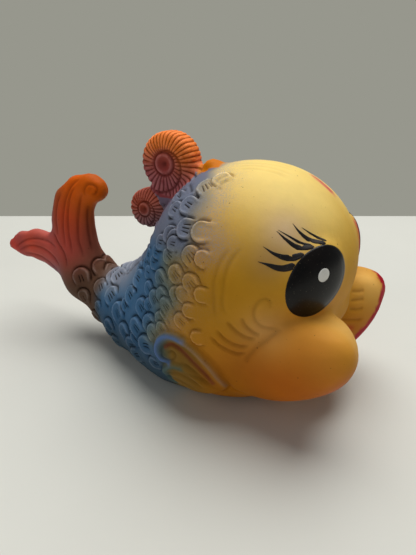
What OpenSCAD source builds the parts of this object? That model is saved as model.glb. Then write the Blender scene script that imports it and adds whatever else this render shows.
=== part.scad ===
// Squeaky bath toy: a big-headed vinyl fish with curled fins and a reed whistle in its belly.
// Millimetres, +X towards the mouth, +Y the fish's left, +Z up.
// The origin is the middle of the flat of the belly, which the toy sits on.
// The vinyl is one hollow moulding. Its outer skin and its hollow are described by distance
// functions (less than zero inside), joined softly, and meshed on a square lattice.

/* [Head] */
// Length of the head ball
head_l = 76.2; // [70:0.1:84]
// Width of the head ball
head_w = 76.0; // [70:0.1:84]
// Height of the head ball
head_h = 69.6; // [64:0.1:76]
// How far the middle of the head lies in front of the origin
head_x = 7.1; // [4:0.1:10]
// Height of the middle of the head
head_z = 55.5; // [50:0.1:60]
// Nose-up lean of the head ball, degrees
head_lean = 6; // [0:1:12]
// Length of the full lower face
jaw_l = 69.4; // [64:0.1:76]
// Width of the full lower face
jaw_w = 71.2; // [66:0.1:78]
// Height of the full lower face
jaw_h = 60.6; // [56:0.1:66]
// Height of the middle of the lower face
jaw_z = 27.4; // [25:0.1:30]

/* [Body] */
// From the origin back to the root of the tail
body_l = 77.4; // [72:0.1:84]
// Height of the spine where it enters the head
body_rise = 51.4; // [48:0.1:55]
// Greatest half width of the body
body_r = 31.3; // [28:0.1:34]

/* [Lips] */
// Length of one puffy lip
lip_l = 39.6; // [36:0.1:44]
// Thickness of one lip
lip_w = 13.6; // [12:0.1:16]
// Height of one lip
lip_h = 27.2; // [24:0.1:30]
// How far a lip's middle lies from the mid-plane
lip_y = 13.5; // [12:0.1:15]
// How far a lip's middle lies in front of the origin
lip_x = 38.2; // [36:0.1:40]
// Length of one puffy cheek
cheek_l = 55.8; // [50:0.1:60]
// Thickness of one cheek
cheek_w = 19.6; // [17:0.1:22]
// Height of one cheek
cheek_h = 28.2; // [25:0.1:31]
// How far a cheek's middle lies from the mid-plane
cheek_y = 25.0; // [23:0.1:27]
// How far a cheek's middle lies in front of the origin
cheek_x = 28.1; // [26:0.1:30]
// Height of the middle of lips and cheeks
lip_z = 28.6; // [26:0.1:31]
// Width of the open mouth
mouth_w = 23; // [20:0.1:26]
// Height of the open mouth
mouth_h = 17; // [14:0.1:20]
// Depth of the open mouth
mouth_d = 20; // [16:0.1:24]
// Thickness of the lower lip
chin_d = 11; // [9:0.1:13]

/* [Eyes] */
// Height of one moulded eye
eye_h = 26; // [24:0.1:28]
// Width of one moulded eye
eye_w = 22; // [20:0.1:24]
// Thickness of the lens shape that makes one eye
eye_t = 9; // [8:0.1:10]

/* [Tail] */
// Width of the tall fluke
tall_w = 24; // [20:0.1:28]
// Height of the tall fluke above the tail root
tall_h = 46; // [42:0.1:50]
// Length of the short fluke behind the tail root
short_l = 54; // [48:0.1:58]
// Width of the short fluke
short_w = 23; // [20:0.1:26]
// Height of the tail root
root_z = 28.9; // [26:0.1:31]

/* [Crest and fins] */
// Diameter of the large curl
big_d = 23.2; // [20:0.1:26]
// Thickness of the large curl
big_t = 12; // [10:0.1:14]
// Diameter of the small curl
small_d = 16; // [14:0.1:18]
// Thickness of the small curl
small_t = 10; // [8:0.1:12]
// Diameter of the bud in front of the curls
bud_d = 7.8; // [7:0.1:9]
// Length of one side fin
fin_l = 32; // [28:0.1:36]
// Height of one side fin
fin_h = 21; // [18:0.1:24]
// Thickness of one side fin
fin_t = 11; // [9:0.1:13]

/* [Scales] */
// Spacing of the main scales that stand out of the flank
scale_gap = 10.6; // [9:0.1:13]
// Width of one main scale
scale_w = 7.6; // [6:0.1:8]
// Height of its round end above the skin
scale_rise = 0.6; // [0.4:0.1:0.8]
// Thickness of one main scale
scale_t = 1.4; // [1.2:0.1:1.6]
// Distance of the first row behind the origin
scale_back = 9; // [6:0.1:12]
// Height of the lowest scales above the floor
scale_low = 6; // [5:0.1:9]

/* [Vinyl] */
// Wall of the moulding
wall = 2.6; // [2.4:0.1:3.2]
// Mesh of the outer skin
skin_step = 4.1; // [4:0.1:6]
// Mesh of the hollow
hollow_step = 6; // [6:0.1:8]

/* [Whistle] */
// Distance of the whistle behind the origin
whistle_back = 20; // [18:0.1:22]
// Diameter of the whistle's flange
flange_d = 18; // [17:0.1:19]
// Thickness of the flange
flange_t = 1.4; // [1.2:0.1:1.8]
// Diameter of the neck that sits in the vinyl
neck_d = 13; // [12.5:0.1:13.5]
// Length of the neck
neck_l = 3; // [2.6:0.1:3.4]
// Diameter of the barb inside the toy
barb_d = 15.6; // [15:0.1:16]
// Length of the barb
barb_l = 2.4; // [2:0.1:3]
// Diameter of the air tube
tube_d = 10; // [9.5:0.1:10.5]
// Length of the air tube above the barb
tube_l = 10.5; // [10:0.1:12]
// Bore of the air tube
bore_d = 6.4; // [6:0.1:6.6]
// Gap between whistle and vinyl all round
whistle_gap = 0.25; // [0.2:0.05:0.3]
// How far the flange sits up from the belly
flange_up = 0.4; // [0.3:0.05:0.6]

/* [Reed] */
// Length of the reed bed
bed_l = 9; // [8.5:0.1:9.5]
// Length over which the tongue is clamped
clamp_l = 2; // [1.8:0.1:2.2]
// Width of the brass tongue
tongue_w = 2.8; // [2.4:0.1:3]
// Thickness of the brass tongue
tongue_t = 0.16; // [0.14:0.01:0.2]
// Free length of the tongue
tongue_free = 6; // [5.5:0.1:6.2]
// Width of the air channel under the tongue
channel_w = 1.9; // [1.6:0.1:2.1]
// Depth of the air channel
channel_d = 1.7; // [1.4:0.1:1.9]
// Gap each side of the clamped tongue
tongue_gap = 0.1; // [0.08:0.01:0.12]
// Opening between bed and tongue at its free end
tongue_lift = 0.45; // [0.35:0.01:0.5]
// Gap between reed block and bore
block_gap = 0.05; // [0.03:0.01:0.06]

/* [Hidden] */
$fn = 64;

// Places and radii along the spine: [x share of body_l, z share of body_rise, share of body_r, flatness]
spine_shares = [
    [0.04, 1.0, 1.0, 1.0],
    [-0.315, 0.451, 0.923, 1.0],
    [-0.59, 0.403, 0.649, 1.0],
    [-0.813, 0.42, 0.38, 1.0],
    [-1.0, 0.562, 0.351, 0.85],
];
// The tall fluke from its root to its curl: [x share of tall_w, z share of tall_h, radius share of tall_w, flatness]
tall_shares = [
    [-0.05, 0.0, 0.465, 0.85],
    [-0.27, 0.317, 0.51, 0.5],
    [-0.29, 0.557, 0.495, 0.42],
    [-0.22, 0.741, 0.433, 0.42],
    [0.01, 0.889, 0.325, 0.5],
    [0.275, 0.963, 0.225, 0.8],
    [0.4, 0.946, 0.2, 1.0],
];
// The short fluke from its root to its tip: [x share of short_l, z share of short_w, radius share of short_w, flatness]
short_shares = [
    [-0.067, 0.09, 0.5, 0.7],
    [-0.363, 0.409, 0.396, 0.5],
    [-0.585, 0.491, 0.339, 0.45],
    [-0.793, 0.439, 0.265, 0.4],
    [-0.95, 0.365, 0.135, 0.6],
];
// The webs that carry the curls on the nape: [x share of head_l, z share of head_h, radius share of big_d, flatness]
nape_shares = [
    [-0.5, 0.251, 0.28, 0.75],
    [-0.316, 0.381, 0.194, 0.9],
];

// Small numbers that keep the sums away from zero, and the share of a step used to find a slope
tiny = 1e-6;
least_slope = 0.2;
nudge_share = 0.025;

// Tries at pulling a point onto the skin, and passes of the repair of the lattice
skin_tries = 2;
spot_tries = 6;
fill_passes = 2;
// Where the lattice starts behind, beside and below the toy, in steps
start_shares = [0.85, 0.5, 0.3];
// How far the skin reaches past the middle of the lips, as a share of their length
lip_reach_share = 0.7;
// Chin and muzzle, as shares of the chin, the mouth's width, and the lips' width and spacing
chin_shares = [1.1, 1.15];
muzzle_shares = [1.25, 1.93, 1.03];
// Every other row of scales is moved down by half a scale
stagger_shares = [0.3, 0.8];
// The scales' round ends point back and up
scale_way = [-0.87, 0, 0.5];
scale_sides = 8;
// Nose-up lean of the muzzle, degrees
muzzle_tilt = 20;

// How softly the forms run into each other
soft_body = body_r * 0.16;
soft_head = body_r * 0.29;
soft_jaw = jaw_h * 0.23;
soft_cheek = cheek_w * 0.41;
soft_crease = lip_w * 0.22;
soft_tail = tall_w * 0.25;
soft_curl = big_d * 0.13;
soft_rim = chin_d * 0.18;

// Angles of the lips and cheeks: nose-up pitch and outward flare, degrees
lip_pitch = 46;
lip_flare = 40;
cheek_pitch = 28;
cheek_flare = 13;
// An eye's lens is turned to face out and forward, and its top leans to the mid-plane, degrees
eye_turn = -54;
eye_tilt = -42;
// A side fin slopes down to the front, degrees
fin_slope = -30;

// Places that follow from the sizes above
head_at = [head_x, 0, head_z];
jaw_at = [head_x * 0.23, 0, jaw_z];
lip_at = [lip_x, lip_y, lip_z];
cheek_at = [cheek_x, cheek_y, lip_z];
mouth_at = [lip_x + lip_l * 0.3, 0, lip_z * 0.98];
chin_at = [lip_x + lip_w * 0.42, 0, lip_z * 0.62];
muzzle_at = [lip_x - lip_w * 0.2, 0, lip_z * 1.42];
root_at = [-body_l, root_z];
big_at = [head_x - head_l * 0.466, head_z + head_h * 0.458];
small_at = [head_x - head_l * 0.612, head_z + head_h * 0.184];
bud_at = [head_x - head_l * 0.229, head_z + head_h * 0.438];
eye_at = [head_x + head_l * 0.369, head_w * 0.27, head_z + head_h * 0.045];
fin_at = [-head_x * 0.6, jaw_w * 0.445, jaw_z * 0.86];

// Rows of a rotation that turns the room so that a form's own length lies along x
function turned(pitch, yaw) = [
    [cos(pitch) * cos(yaw), cos(pitch) * sin(yaw), sin(pitch)],
    [-sin(yaw), cos(yaw), 0],
    [-sin(pitch) * cos(yaw), -sin(pitch) * sin(yaw), cos(pitch)],
];
function scaled(rows, radii, power) = [for (i = [0:2]) rows[i] / pow(radii[i], power)];
// An ellipsoid kept as its middle and the two matrices that its distance needs
function egg(middle, sizes, pitch = 0, yaw = 0) =
    let (rows = turned(pitch, yaw), radii = sizes / 2)
    [middle, scaled(rows, radii, 1), scaled(rows, radii, 2)];
function to_egg(p, e) = let (q = p - e[0], a = norm(e[1] * q)) a * (a - 1) / max(norm(e[2] * q), tiny);

// A tapering limb in the mid-plane between two rows of a table, flattened sideways
function limb(p, a, b) =
    let (
        run = [b[0] - a[0], b[1] - a[1]],
        q = [p[0] - a[0], p[2] - a[1]],
        t = max(0, min(1, (q * run) / (run * run))),
        off = q - t * run,
        r = a[2] + (b[2] - a[2]) * t,
        side = p[1] / (a[3] + (b[3] - a[3]) * t),
        k = norm([off[0], off[1], side]) / r,
        slope = norm([off[0], off[1], side / (a[3] + (b[3] - a[3]) * t)]) / (r * r)
    ) k * (k - 1) / max(slope, tiny);
function joined(a, b, soft) =
    let (h = max(0, min(1, 0.5 + 0.5 * (b - a) / soft))) b + (a - b) * h - soft * h * (1 - h);
function carved(a, b, soft) = -joined(-a, b, soft);
function limbs(p, table, soft, i = 0) =
    i == len(table) - 2
        ? limb(p, table[i], table[i + 1])
        : joined(limb(p, table[i], table[i + 1]), limbs(p, table, soft, i + 1), soft);
function placed(table, at, unit_x, unit_z, unit_r) =
    [for (row = table) [at[0] + row[0] * unit_x, at[1] + row[1] * unit_z, row[2] * unit_r, row[3]]];
// A flat curl with a round edge, in the mid-plane
function coin(p, at, d, t) =
    let (k = pow(pow(norm([p[0] - at[0], p[2] - at[1]]) / (d / 2), 4) + pow(p[1] / (t / 2), 4), 0.25))
    (k - 1) * t / 2;

head_egg = egg(head_at, [head_l, head_w, head_h], head_lean);
jaw_egg = egg(jaw_at, [jaw_l, jaw_w, jaw_h]);
lip_egg = egg(lip_at, [lip_l, lip_w, lip_h], lip_pitch, lip_flare);
cheek_egg = egg(cheek_at, [cheek_l, cheek_w, cheek_h], cheek_pitch, cheek_flare);
mouth_egg = egg(mouth_at, [mouth_d, mouth_w, mouth_h]);
chin_egg = egg(chin_at, [chin_d * chin_shares[0], mouth_w * chin_shares[1], chin_d * chin_shares[0]]);
muzzle_egg = egg(muzzle_at, [lip_w * muzzle_shares[0], lip_y * muzzle_shares[1], lip_w * muzzle_shares[2]],
                 muzzle_tilt);
eye_egg = egg(eye_at, [eye_w, eye_t, eye_h], eye_tilt, eye_turn);
fin_egg = egg(fin_at, [fin_l, fin_t, fin_h], fin_slope);
spine = placed(spine_shares, [0, 0], body_l, body_rise, body_r);
tall = placed(tall_shares, root_at, tall_w, tall_h, tall_w);
short = placed(short_shares, root_at, short_l, short_w, short_w);
nape = placed(nape_shares, [head_x, head_z], head_l, head_h, big_d);
far = body_l;

// Head, lower face and body, without lips, fins and curls
function trunk(p) = joined(joined(to_egg(p, head_egg), limbs(p, spine, soft_body), soft_head),
                           to_egg(p, jaw_egg), soft_jaw);
// Both sides are alike, so the pairs are described on the left and folded over
function lobes(p) = joined(to_egg(p, lip_egg), to_egg(p, cheek_egg), soft_cheek);
function tail(p) = p[0] > root_at[0] + tall_w ? far
    : joined(limbs(p, tall, soft_curl), limbs(p, short, soft_curl), soft_tail);
function curls(p) = p[2] < small_at[1] - small_d || p[0] > head_x ? far
    : joined(joined(joined(coin(p, big_at, big_d, big_t), coin(p, small_at, small_d, small_t), soft_curl),
                    norm([p[0] - bud_at[0], p[1], p[2] - bud_at[1]]) - bud_d / 2, soft_curl),
             limbs(p, nape, soft_curl), soft_curl);
function face(p) = p[0] < lip_x - cheek_l ? far
    : joined(joined(lobes(p), to_egg(p, muzzle_egg), soft_crease), to_egg(p, chin_egg), soft_crease);
function outside(point) =
    let (
        p = [point[0], abs(point[1]), point[2]],
        full = joined(joined(trunk(p), face(p), soft_crease), to_egg(p, fin_egg), soft_crease),
        mouth = carved(joined(full, to_egg(p, eye_egg), soft_rim), to_egg(p, mouth_egg), soft_rim)
    ) carved(joined(joined(mouth, tail(p), soft_tail), curls(p), soft_curl), p[2], soft_rim);
// The hollow follows the trunk and the cheeks one wall inside, and leaves a boss for the whistle
function hollow(point) =
    let (
        p = [point[0], abs(point[1]), point[2]],
        full = joined(trunk(p), to_egg(p, cheek_egg), soft_cheek) + wall,
        mouth = carved(full, to_egg(p, mouth_egg) - wall, soft_jaw),
        boss = max(norm([p[0] + whistle_back, p[1]]) - boss_d / 2, p[2] - boss_h)
    ) carved(carved(mouth, boss, soft_rim), p[2] - wall, soft_rim);

// The boss ends under the barb
boss_h = flange_up + flange_t + neck_l;
boss_d = flange_d + wall * 4;

// Surface of a distance function on a square lattice: one point in each cell that the surface
// crosses, and a four-sided face across each lattice edge that it crosses
function sample(shape, low, step, n) =
    [for (i = [0:n[0]]) [for (j = [0:n[1]]) [for (k = [0:n[2]])
        let (v = shape == "outside" ? outside(low + step * [i, j, k]) : hollow(low + step * [i, j, k]))
        v == 0 ? tiny : v]]];
// Fills the lattice points where two sheets of the surface would meet along one edge
function filled(v, deep, passes) =
    passes == 0 ? v
        : filled([for (i = [0:len(v) - 1]) [for (j = [0:len(v[i]) - 1]) [for (k = [0:len(v[i][j]) - 1])
            let (a = v[i][j][k])
            a > 0 && a < deep && i * j * k > 0 && i < len(v) - 1 && pinched(v, [i, j, k]) ? -tiny : a]]],
            deep, passes - 1);
function pinched(v, c) =
    len([for (s = sides) if (at(v, c + s[0]) < 0 && at(v, c + s[1]) < 0 && at(v, c + s[0] + s[1]) > 0) 1]) > 0;
function value(shape, p) = shape == "outside" ? outside(p) : hollow(p);
ways = [[1, 0, 0], [-1, 0, 0], [0, 1, 0], [0, -1, 0], [0, 0, 1], [0, 0, -1]];
sides = [for (a = [0:4]) for (b = [a + 1:5]) if (ways[a] * ways[b] == 0) [ways[a], ways[b]]];
corners = [for (i = [0, 1]) for (j = [0, 1]) for (k = [0, 1]) [i, j, k]];
ahead = [0, 2, 4];
edges = [for (a = corners) for (w = ahead) if (a * ways[w] == 0) [a, a + ways[w]]];
function at(v, c) = v[c[0]][c[1]][c[2]];
function crossings(v, c) =
    [for (e = edges) let (a = at(v, c + e[0]), b = at(v, c + e[1])) if (a * b < 0) e[0] + (e[1] - e[0]) * a / (a - b)];
function mean(points) = [for (p = points) 1] * points / len(points);
// Pulls a point along the slope of the distance onto the surface. The fold at the mid-plane makes
// the sideways slope the mean of its two sides
function settled(shape, p, tries, nudge) =
    tries == 0 ? p
        : let (
            v = value(shape, p),
            x = value(shape, p + nudge * ways[0]) - v,
            y = (value(shape, p + nudge * ways[2]) - value(shape, p + nudge * ways[3])) / 2,
            z = value(shape, p + nudge * ways[4]) - v,
            slope = [x, y, z] / nudge
        ) settled(shape, p - slope * v / max(slope * slope, least_slope), tries - 1, nudge);
function cell_numbers(full) =
    [for (i = 0, count = 0; i < len(full); count = count + (full[i] ? 1 : 0), i = i + 1) full[i] ? count : -1];
function halves(shape_points, q) =
    norm(shape_points[q[0]] - shape_points[q[2]]) < norm(shape_points[q[1]] - shape_points[q[3]])
        ? [[q[0], q[1], q[2]], [q[0], q[2], q[3]]]
        : [[q[0], q[1], q[3]], [q[1], q[2], q[3]]];
function skin(shape, step) =
    let (
        low = [-body_l - short_l - step * start_shares[0], -(ceil(half_w / step) + start_shares[1]) * step,
               -step * start_shares[2]],
        n = [for (d = high - low) ceil(d / step)],
        v = filled(sample(shape, low, step, n), step, fill_passes),
        cells = [for (i = [0:n[0] - 1]) for (j = [0:n[1] - 1]) for (k = [0:n[2] - 1]) [i, j, k]],
        found = [for (c = cells) crossings(v, c)],
        numbers = cell_numbers([for (f = found) len(f) > 0]),
        number = function (i, j, k) numbers[(i * n[1] + j) * n[2] + k],
        points = [for (i = [0:len(cells) - 1]) if (len(found[i]) > 0)
            settled(shape, low + step * (cells[i] + mean(found[i])), skin_tries, step * nudge_share)],
        quads = [for (c = cells) let (i = c[0], j = c[1], k = c[2], here = v[i][j][k]) each [
            if (j > 0 && k > 0 && here * v[i + 1][j][k] < 0)
                let (q = [number(i, j - 1, k - 1), number(i, j, k - 1), number(i, j, k), number(i, j - 1, k)])
                here < 0 ? [q[3], q[2], q[1], q[0]] : q,
            if (i > 0 && k > 0 && here * v[i][j + 1][k] < 0)
                let (q = [number(i - 1, j, k - 1), number(i - 1, j, k), number(i, j, k), number(i, j, k - 1)])
                here < 0 ? [q[3], q[2], q[1], q[0]] : q,
            if (i > 0 && j > 0 && here * v[i][j][k + 1] < 0)
                let (q = [number(i - 1, j - 1, k), number(i, j - 1, k), number(i, j, k), number(i - 1, j, k)])
                here < 0 ? [q[3], q[2], q[1], q[0]] : q,
        ]]
    ) [points, [for (q = quads) each halves(points, q)]];

half_w = cheek_y + cheek_w;
high = [lip_x + lip_l * lip_reach_share, half_w + skin_step, big_at[1] + big_d];

module skin_solid(shape, step) {
    mesh = skin(shape, step);
    polyhedron(points = mesh[0], faces = mesh[1], convexity = 8);
}

// The main scales of the flank, in staggered rows: a thin disc each, which leans out of the skin
// so that its round end stands proud and its root is sunk
function spine_at(x, column) = lookup(x, [for (s = spine) [s[0], s[column]]]);
function scale_seeds() =
    [for (i = [0:floor((body_l - scale_back) / scale_gap)])
        let (x = -scale_back - i * scale_gap, r = spine_at(x, 2), count = round(PI * r / scale_gap))
        for (k = [0:count - 1])
            let (turn = 180 * (k + stagger_shares[i % 2]) / count)
            [x, r * sin(turn), spine_at(x, 1) + r * cos(turn)]];
function scale_spots() =
    [for (seed = scale_seeds())
        let (p = settled("outside", seed, spot_tries, skin_step * nudge_share))
        if (p[2] > scale_low && p[2] < small_at[1] && p[1] > scale_w / 2 && to_egg(p, fin_egg) > scale_w / 2
            && p[0] < -scale_low) p];
function slope_at(p, nudge) =
    [for (w = ahead) outside(p + nudge * ways[w]) - outside(p - nudge * ways[w])];

module scale_disc(spot) {
    n = slope_at(spot, skin_step * nudge_share) / norm(slope_at(spot, skin_step * nudge_share));
    way = scale_way - (scale_way * n) * n;
    up = way / norm(way);
    side = cross(up, n);
    multmatrix([for (r = [0:2]) [side[r], up[r], n[r], spot[r]]])
        rotate([asin(2 * scale_rise / scale_w), 0, 0])
        translate([0, 0, -scale_t])
        cylinder(d = scale_w, h = scale_t, $fn = scale_sides);
}

module scales() {
    for (spot = scale_spots()) {
        scale_disc(spot);
        mirror([0, 1, 0]) scale_disc(spot);
    }
}

module vinyl_shell() {
    color("goldenrod")
    difference() {
        union() {
            skin_solid("outside", skin_step);
            scales();
        }
        skin_solid("hollow", hollow_step);
        translate([-whistle_back, 0, 0]) {
            translate([0, 0, -wall]) cylinder(d = neck_d + 2 * whistle_gap, h = boss_h + 2 * wall);
            translate([0, 0, -wall])
                cylinder(d = flange_d + 2 * whistle_gap, h = wall + flange_up + flange_t + whistle_gap);
        }
    }
}

module whistle_plug() {
    z1 = flange_up;
    z2 = z1 + flange_t;
    z3 = z2 + whistle_gap + neck_l;
    z4 = z3 + barb_l;
    z5 = z4 + tube_l;
    color("ivory")
    translate([-whistle_back, 0, 0])
    rotate_extrude()
    polygon([
        [bore_d / 2, z1], [flange_d / 2, z1], [flange_d / 2, z2], [neck_d / 2, z2],
        [neck_d / 2, z3], [barb_d / 2, z3], [tube_d / 2, z4], [tube_d / 2, z5], [bore_d / 2, z5],
    ]);
}

// The reed block fills the upper part of the bore: a bed with an air channel, and a wedge that
// holds the end of the tongue down on it
block_d = bore_d - 2 * block_gap;
block_z = flange_up + flange_t + neck_l + barb_l + (tube_l - bed_l);
face_y = tongue_t / 2 + tongue_gap;
over = wall;

module reed_bed() {
    tip = clamp_l + tongue_free;
    color("ivory")
    translate([-whistle_back, 0, block_z])
    difference() {
        cylinder(d = block_d, h = bed_l);
        translate([-block_d, -face_y, -over]) cube([2 * block_d, block_d, bed_l + 2 * over]);
        translate([-channel_w / 2, -face_y - channel_d, -over])
            cube([channel_w, channel_d + over, tip - channel_w / 2 + over]);
        rotate([90, 0, 90])
            linear_extrude(height = 2 * block_d, center = true)
            polygon([[-face_y, clamp_l], [over, clamp_l], [over, bed_l + over], [-face_y - tongue_lift, bed_l + over],
                     [-face_y - tongue_lift, tip]]);
    }
}

module reed_wedge() {
    slot = tongue_w + 2 * tongue_gap;
    color("wheat")
    translate([-whistle_back, 0, block_z])
    difference() {
        cylinder(d = block_d, h = clamp_l);
        translate([-block_d, -face_y - block_d, -over]) cube([2 * block_d, block_d, clamp_l + 2 * over]);
        translate([-slot / 2, -face_y - over, -over]) cube([slot, 2 * face_y + over, clamp_l + 2 * over]);
    }
}

module reed_tongue() {
    color("gold")
    translate([-whistle_back - tongue_w / 2, -tongue_t / 2, block_z])
        cube([tongue_w, tongue_t, clamp_l + tongue_free]);
}

vinyl_shell();
whistle_plug();
reed_bed();
reed_wedge();
reed_tongue();
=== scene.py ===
"""Looks of a squeaky vinyl fish for the bath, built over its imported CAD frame."""
import logging
import math
from dataclasses import dataclass
from enum import Enum
from typing import Callable

import bpy
import numpy as np
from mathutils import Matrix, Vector
from mathutils.kdtree import KDTree


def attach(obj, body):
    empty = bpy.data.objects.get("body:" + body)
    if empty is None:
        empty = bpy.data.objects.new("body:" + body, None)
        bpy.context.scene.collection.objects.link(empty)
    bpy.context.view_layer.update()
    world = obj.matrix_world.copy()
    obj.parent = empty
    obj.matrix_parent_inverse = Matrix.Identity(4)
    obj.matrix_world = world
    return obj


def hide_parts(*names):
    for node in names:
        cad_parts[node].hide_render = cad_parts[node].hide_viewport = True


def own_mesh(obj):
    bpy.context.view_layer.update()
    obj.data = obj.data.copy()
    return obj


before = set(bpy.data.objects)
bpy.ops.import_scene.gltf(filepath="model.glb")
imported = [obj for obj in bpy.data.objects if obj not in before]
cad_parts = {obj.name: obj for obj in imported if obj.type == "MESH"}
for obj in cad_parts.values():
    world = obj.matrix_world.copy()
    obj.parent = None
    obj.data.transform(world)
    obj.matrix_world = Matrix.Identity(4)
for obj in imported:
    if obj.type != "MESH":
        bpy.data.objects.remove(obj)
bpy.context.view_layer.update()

MM = 0.001
LOG = logging.getLogger("squeaky_fish")
Points = np.ndarray
Shape = Callable[[Points], Points]
Places = tuple[tuple[float, ...], ...]


class Side(Enum):
    """The two sides of the fish, as the sign of y."""

    LEFT = 1
    RIGHT = -1


class Mark(Enum):
    """How a line is worked into the vinyl."""

    GROOVE = -1
    RIDGE = 1


def linear(rgb: tuple[float, ...]) -> Points:
    """Turns a screen colour of 0 to 255 into the linear values that shaders use."""
    c = np.array(rgb, float) / 255
    return np.where(c < 0.04045, c / 12.92, ((c + 0.055) / 1.055) ** 2.4)


def ink(rgb: tuple[float, ...]) -> tuple[float, ...]:
    """The same as a tuple, for a shader's socket."""
    return tuple(linear(rgb).tolist())


def smooth(low: float, high: float, x: Points) -> Points:
    """A soft step that is 0 before low and 1 after high, or falls where low is above high."""
    t = np.clip((x - low) / (high - low), 0, 1)
    return t * t * (3 - 2 * t)


def bell(x: Points, width: float) -> Points:
    """A soft peak of height 1 at zero."""
    return np.exp(-((x / width) ** 2))


def joined(a: Points, b: Points, soft: float) -> Points:
    """The union of two distances with a soft seam."""
    h = np.clip(0.5 + 0.5 * (b - a) / soft, 0, 1)
    return b + (a - b) * h - soft * h * (1 - h)


def carved(a: Points, b: Points, soft: float) -> Points:
    """What is left of a when b is cut from it with a soft edge."""
    return -joined(-a, b, soft)


def curve_through(p: Points, gap: float) -> Points:
    """Fills a short list of places with a smooth line.

    Args:
        p: the places that the line goes through, in millimetres.
        gap: the distance between the points that come back.

    Returns:
        The points of the line.
    """
    p = np.vstack([2 * p[0] - p[1], p, 2 * p[-1] - p[-2]])
    out = []
    for a, b, c, d in zip(p, p[1:], p[2:], p[3:]):
        count = max(2, int(np.linalg.norm(c - b) / gap))
        t = np.linspace(0, 1, count, endpoint=False)[:, None]
        bend, twist = 2 * a - 5 * b + 4 * c - d, 3 * b - a - 3 * c + d
        out.append(0.5 * (2 * b + (c - a) * t + bend * t * t + twist * t**3))
    return np.vstack([*out, p[-2:-1]])


@dataclass(frozen=True)
class Egg:
    """An ellipsoid with a nose-up pitch and an outward turn, in millimetres and degrees."""

    middle: tuple[float, float, float]
    sizes: tuple[float, float, float]
    pitch: float = 0.0
    turn: float = 0.0

    def rows(self) -> Points:
        """The egg's own directions, one in each row.

        Returns:
            The rows of a turn in space.
        """
        p, y = math.radians(self.pitch), math.radians(self.turn)
        cp, sp, cy, sy = math.cos(p), math.sin(p), math.cos(y), math.sin(y)
        return np.array([[cp * cy, cp * sy, sp], [-sy, cy, 0], [-sp * cy, -sp * sy, cp]])

    def distance(self, p: Points) -> Points:
        """About how far points lie outside the egg.

        Args:
            p: the points.

        Returns:
            The distances.
        """
        radii = np.array(self.sizes)[:, None] / 2
        q, rows = p - np.array(self.middle), self.rows()
        a = np.linalg.norm(q @ (rows / radii).T, axis=-1)
        return a * (a - 1) / np.maximum(np.linalg.norm(q @ (rows / radii**2).T, axis=-1), 1e-6)


def limb(p: Points, a: Points, b: Points) -> Points:
    """Distance to one tapering, flattened length of a limb that lies in the mid-plane.

    Args:
        p: the points.
        a: x, z, radius and flatness at one end.
        b: the same at the other end.

    Returns:
        The distances.
    """
    run = b[:2] - a[:2]
    qx, qz = p[..., 0] - a[0], p[..., 2] - a[1]
    t = np.clip((qx * run[0] + qz * run[1]) / (run @ run), 0, 1)
    ox, oz = qx - t * run[0], qz - t * run[1]
    r, flat = a[2] + (b[2] - a[2]) * t, a[3] + (b[3] - a[3]) * t
    side = p[..., 1] / flat
    k = np.sqrt(ox * ox + oz * oz + side * side) / r
    slope = np.sqrt(ox * ox + oz * oz + (side / flat) ** 2) / (r * r)
    return k * (k - 1) / np.maximum(slope, 1e-6)


def limbs(p: Points, table: Points, soft: float) -> Points:
    """Distance to a whole limb.

    Args:
        p: the points.
        table: x, z, radius and flatness at each joint.
        soft: how soft the joints are.

    Returns:
        The distances.
    """
    d = limb(p, table[0], table[1])
    for a, b in zip(table[1:], table[2:]):
        d = joined(d, limb(p, a, b), soft)
    return d


def coin(p: Points, at: tuple[float, float], d: float, t: float) -> Points:
    """Distance to a flat curl with a round edge, in the mid-plane."""
    r = np.hypot(p[..., 0] - at[0], p[..., 2] - at[1]) / (d / 2)
    return (((r**4 + (p[..., 1] / (t / 2)) ** 4) ** 0.25) - 1) * t / 2


@dataclass
class Net:
    """A closed surface of quads and many-sided faces.

    Attributes:
        points: the places of its corners.
        faces: each face as a list of corner numbers.
    """

    points: Points
    faces: list[list[int]]

    def mesh(self, name: str) -> bpy.types.Mesh:
        """Makes a Blender mesh of it, in metres.

        Args:
            name: the mesh's name.

        Returns:
            The mesh.
        """
        mesh = bpy.data.meshes.new(name)
        mesh.from_pydata((self.points * MM).tolist(), [], self.faces)
        mesh.update()
        return mesh


def slopes(shape: Shape, p: Points, nudge: float = 0.15) -> Points:
    """The gradient of a distance function at points."""
    return np.stack([shape(p + nudge * e) - shape(p - nudge * e) for e in np.eye(3)], -1) / (2 * nudge)


def settled(shape: Shape, p: Points, tries: int) -> Points:
    """Pulls points along the slope onto the surface.

    Args:
        shape: the distance function.
        p: the points.
        tries: how many steps to take.

    Returns:
        The points on the surface.
    """
    for _ in range(tries):
        g = slopes(shape, p)
        p = p - g * (shape(p) / np.maximum((g * g).sum(-1), 0.2))[:, None]
    return p


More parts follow.
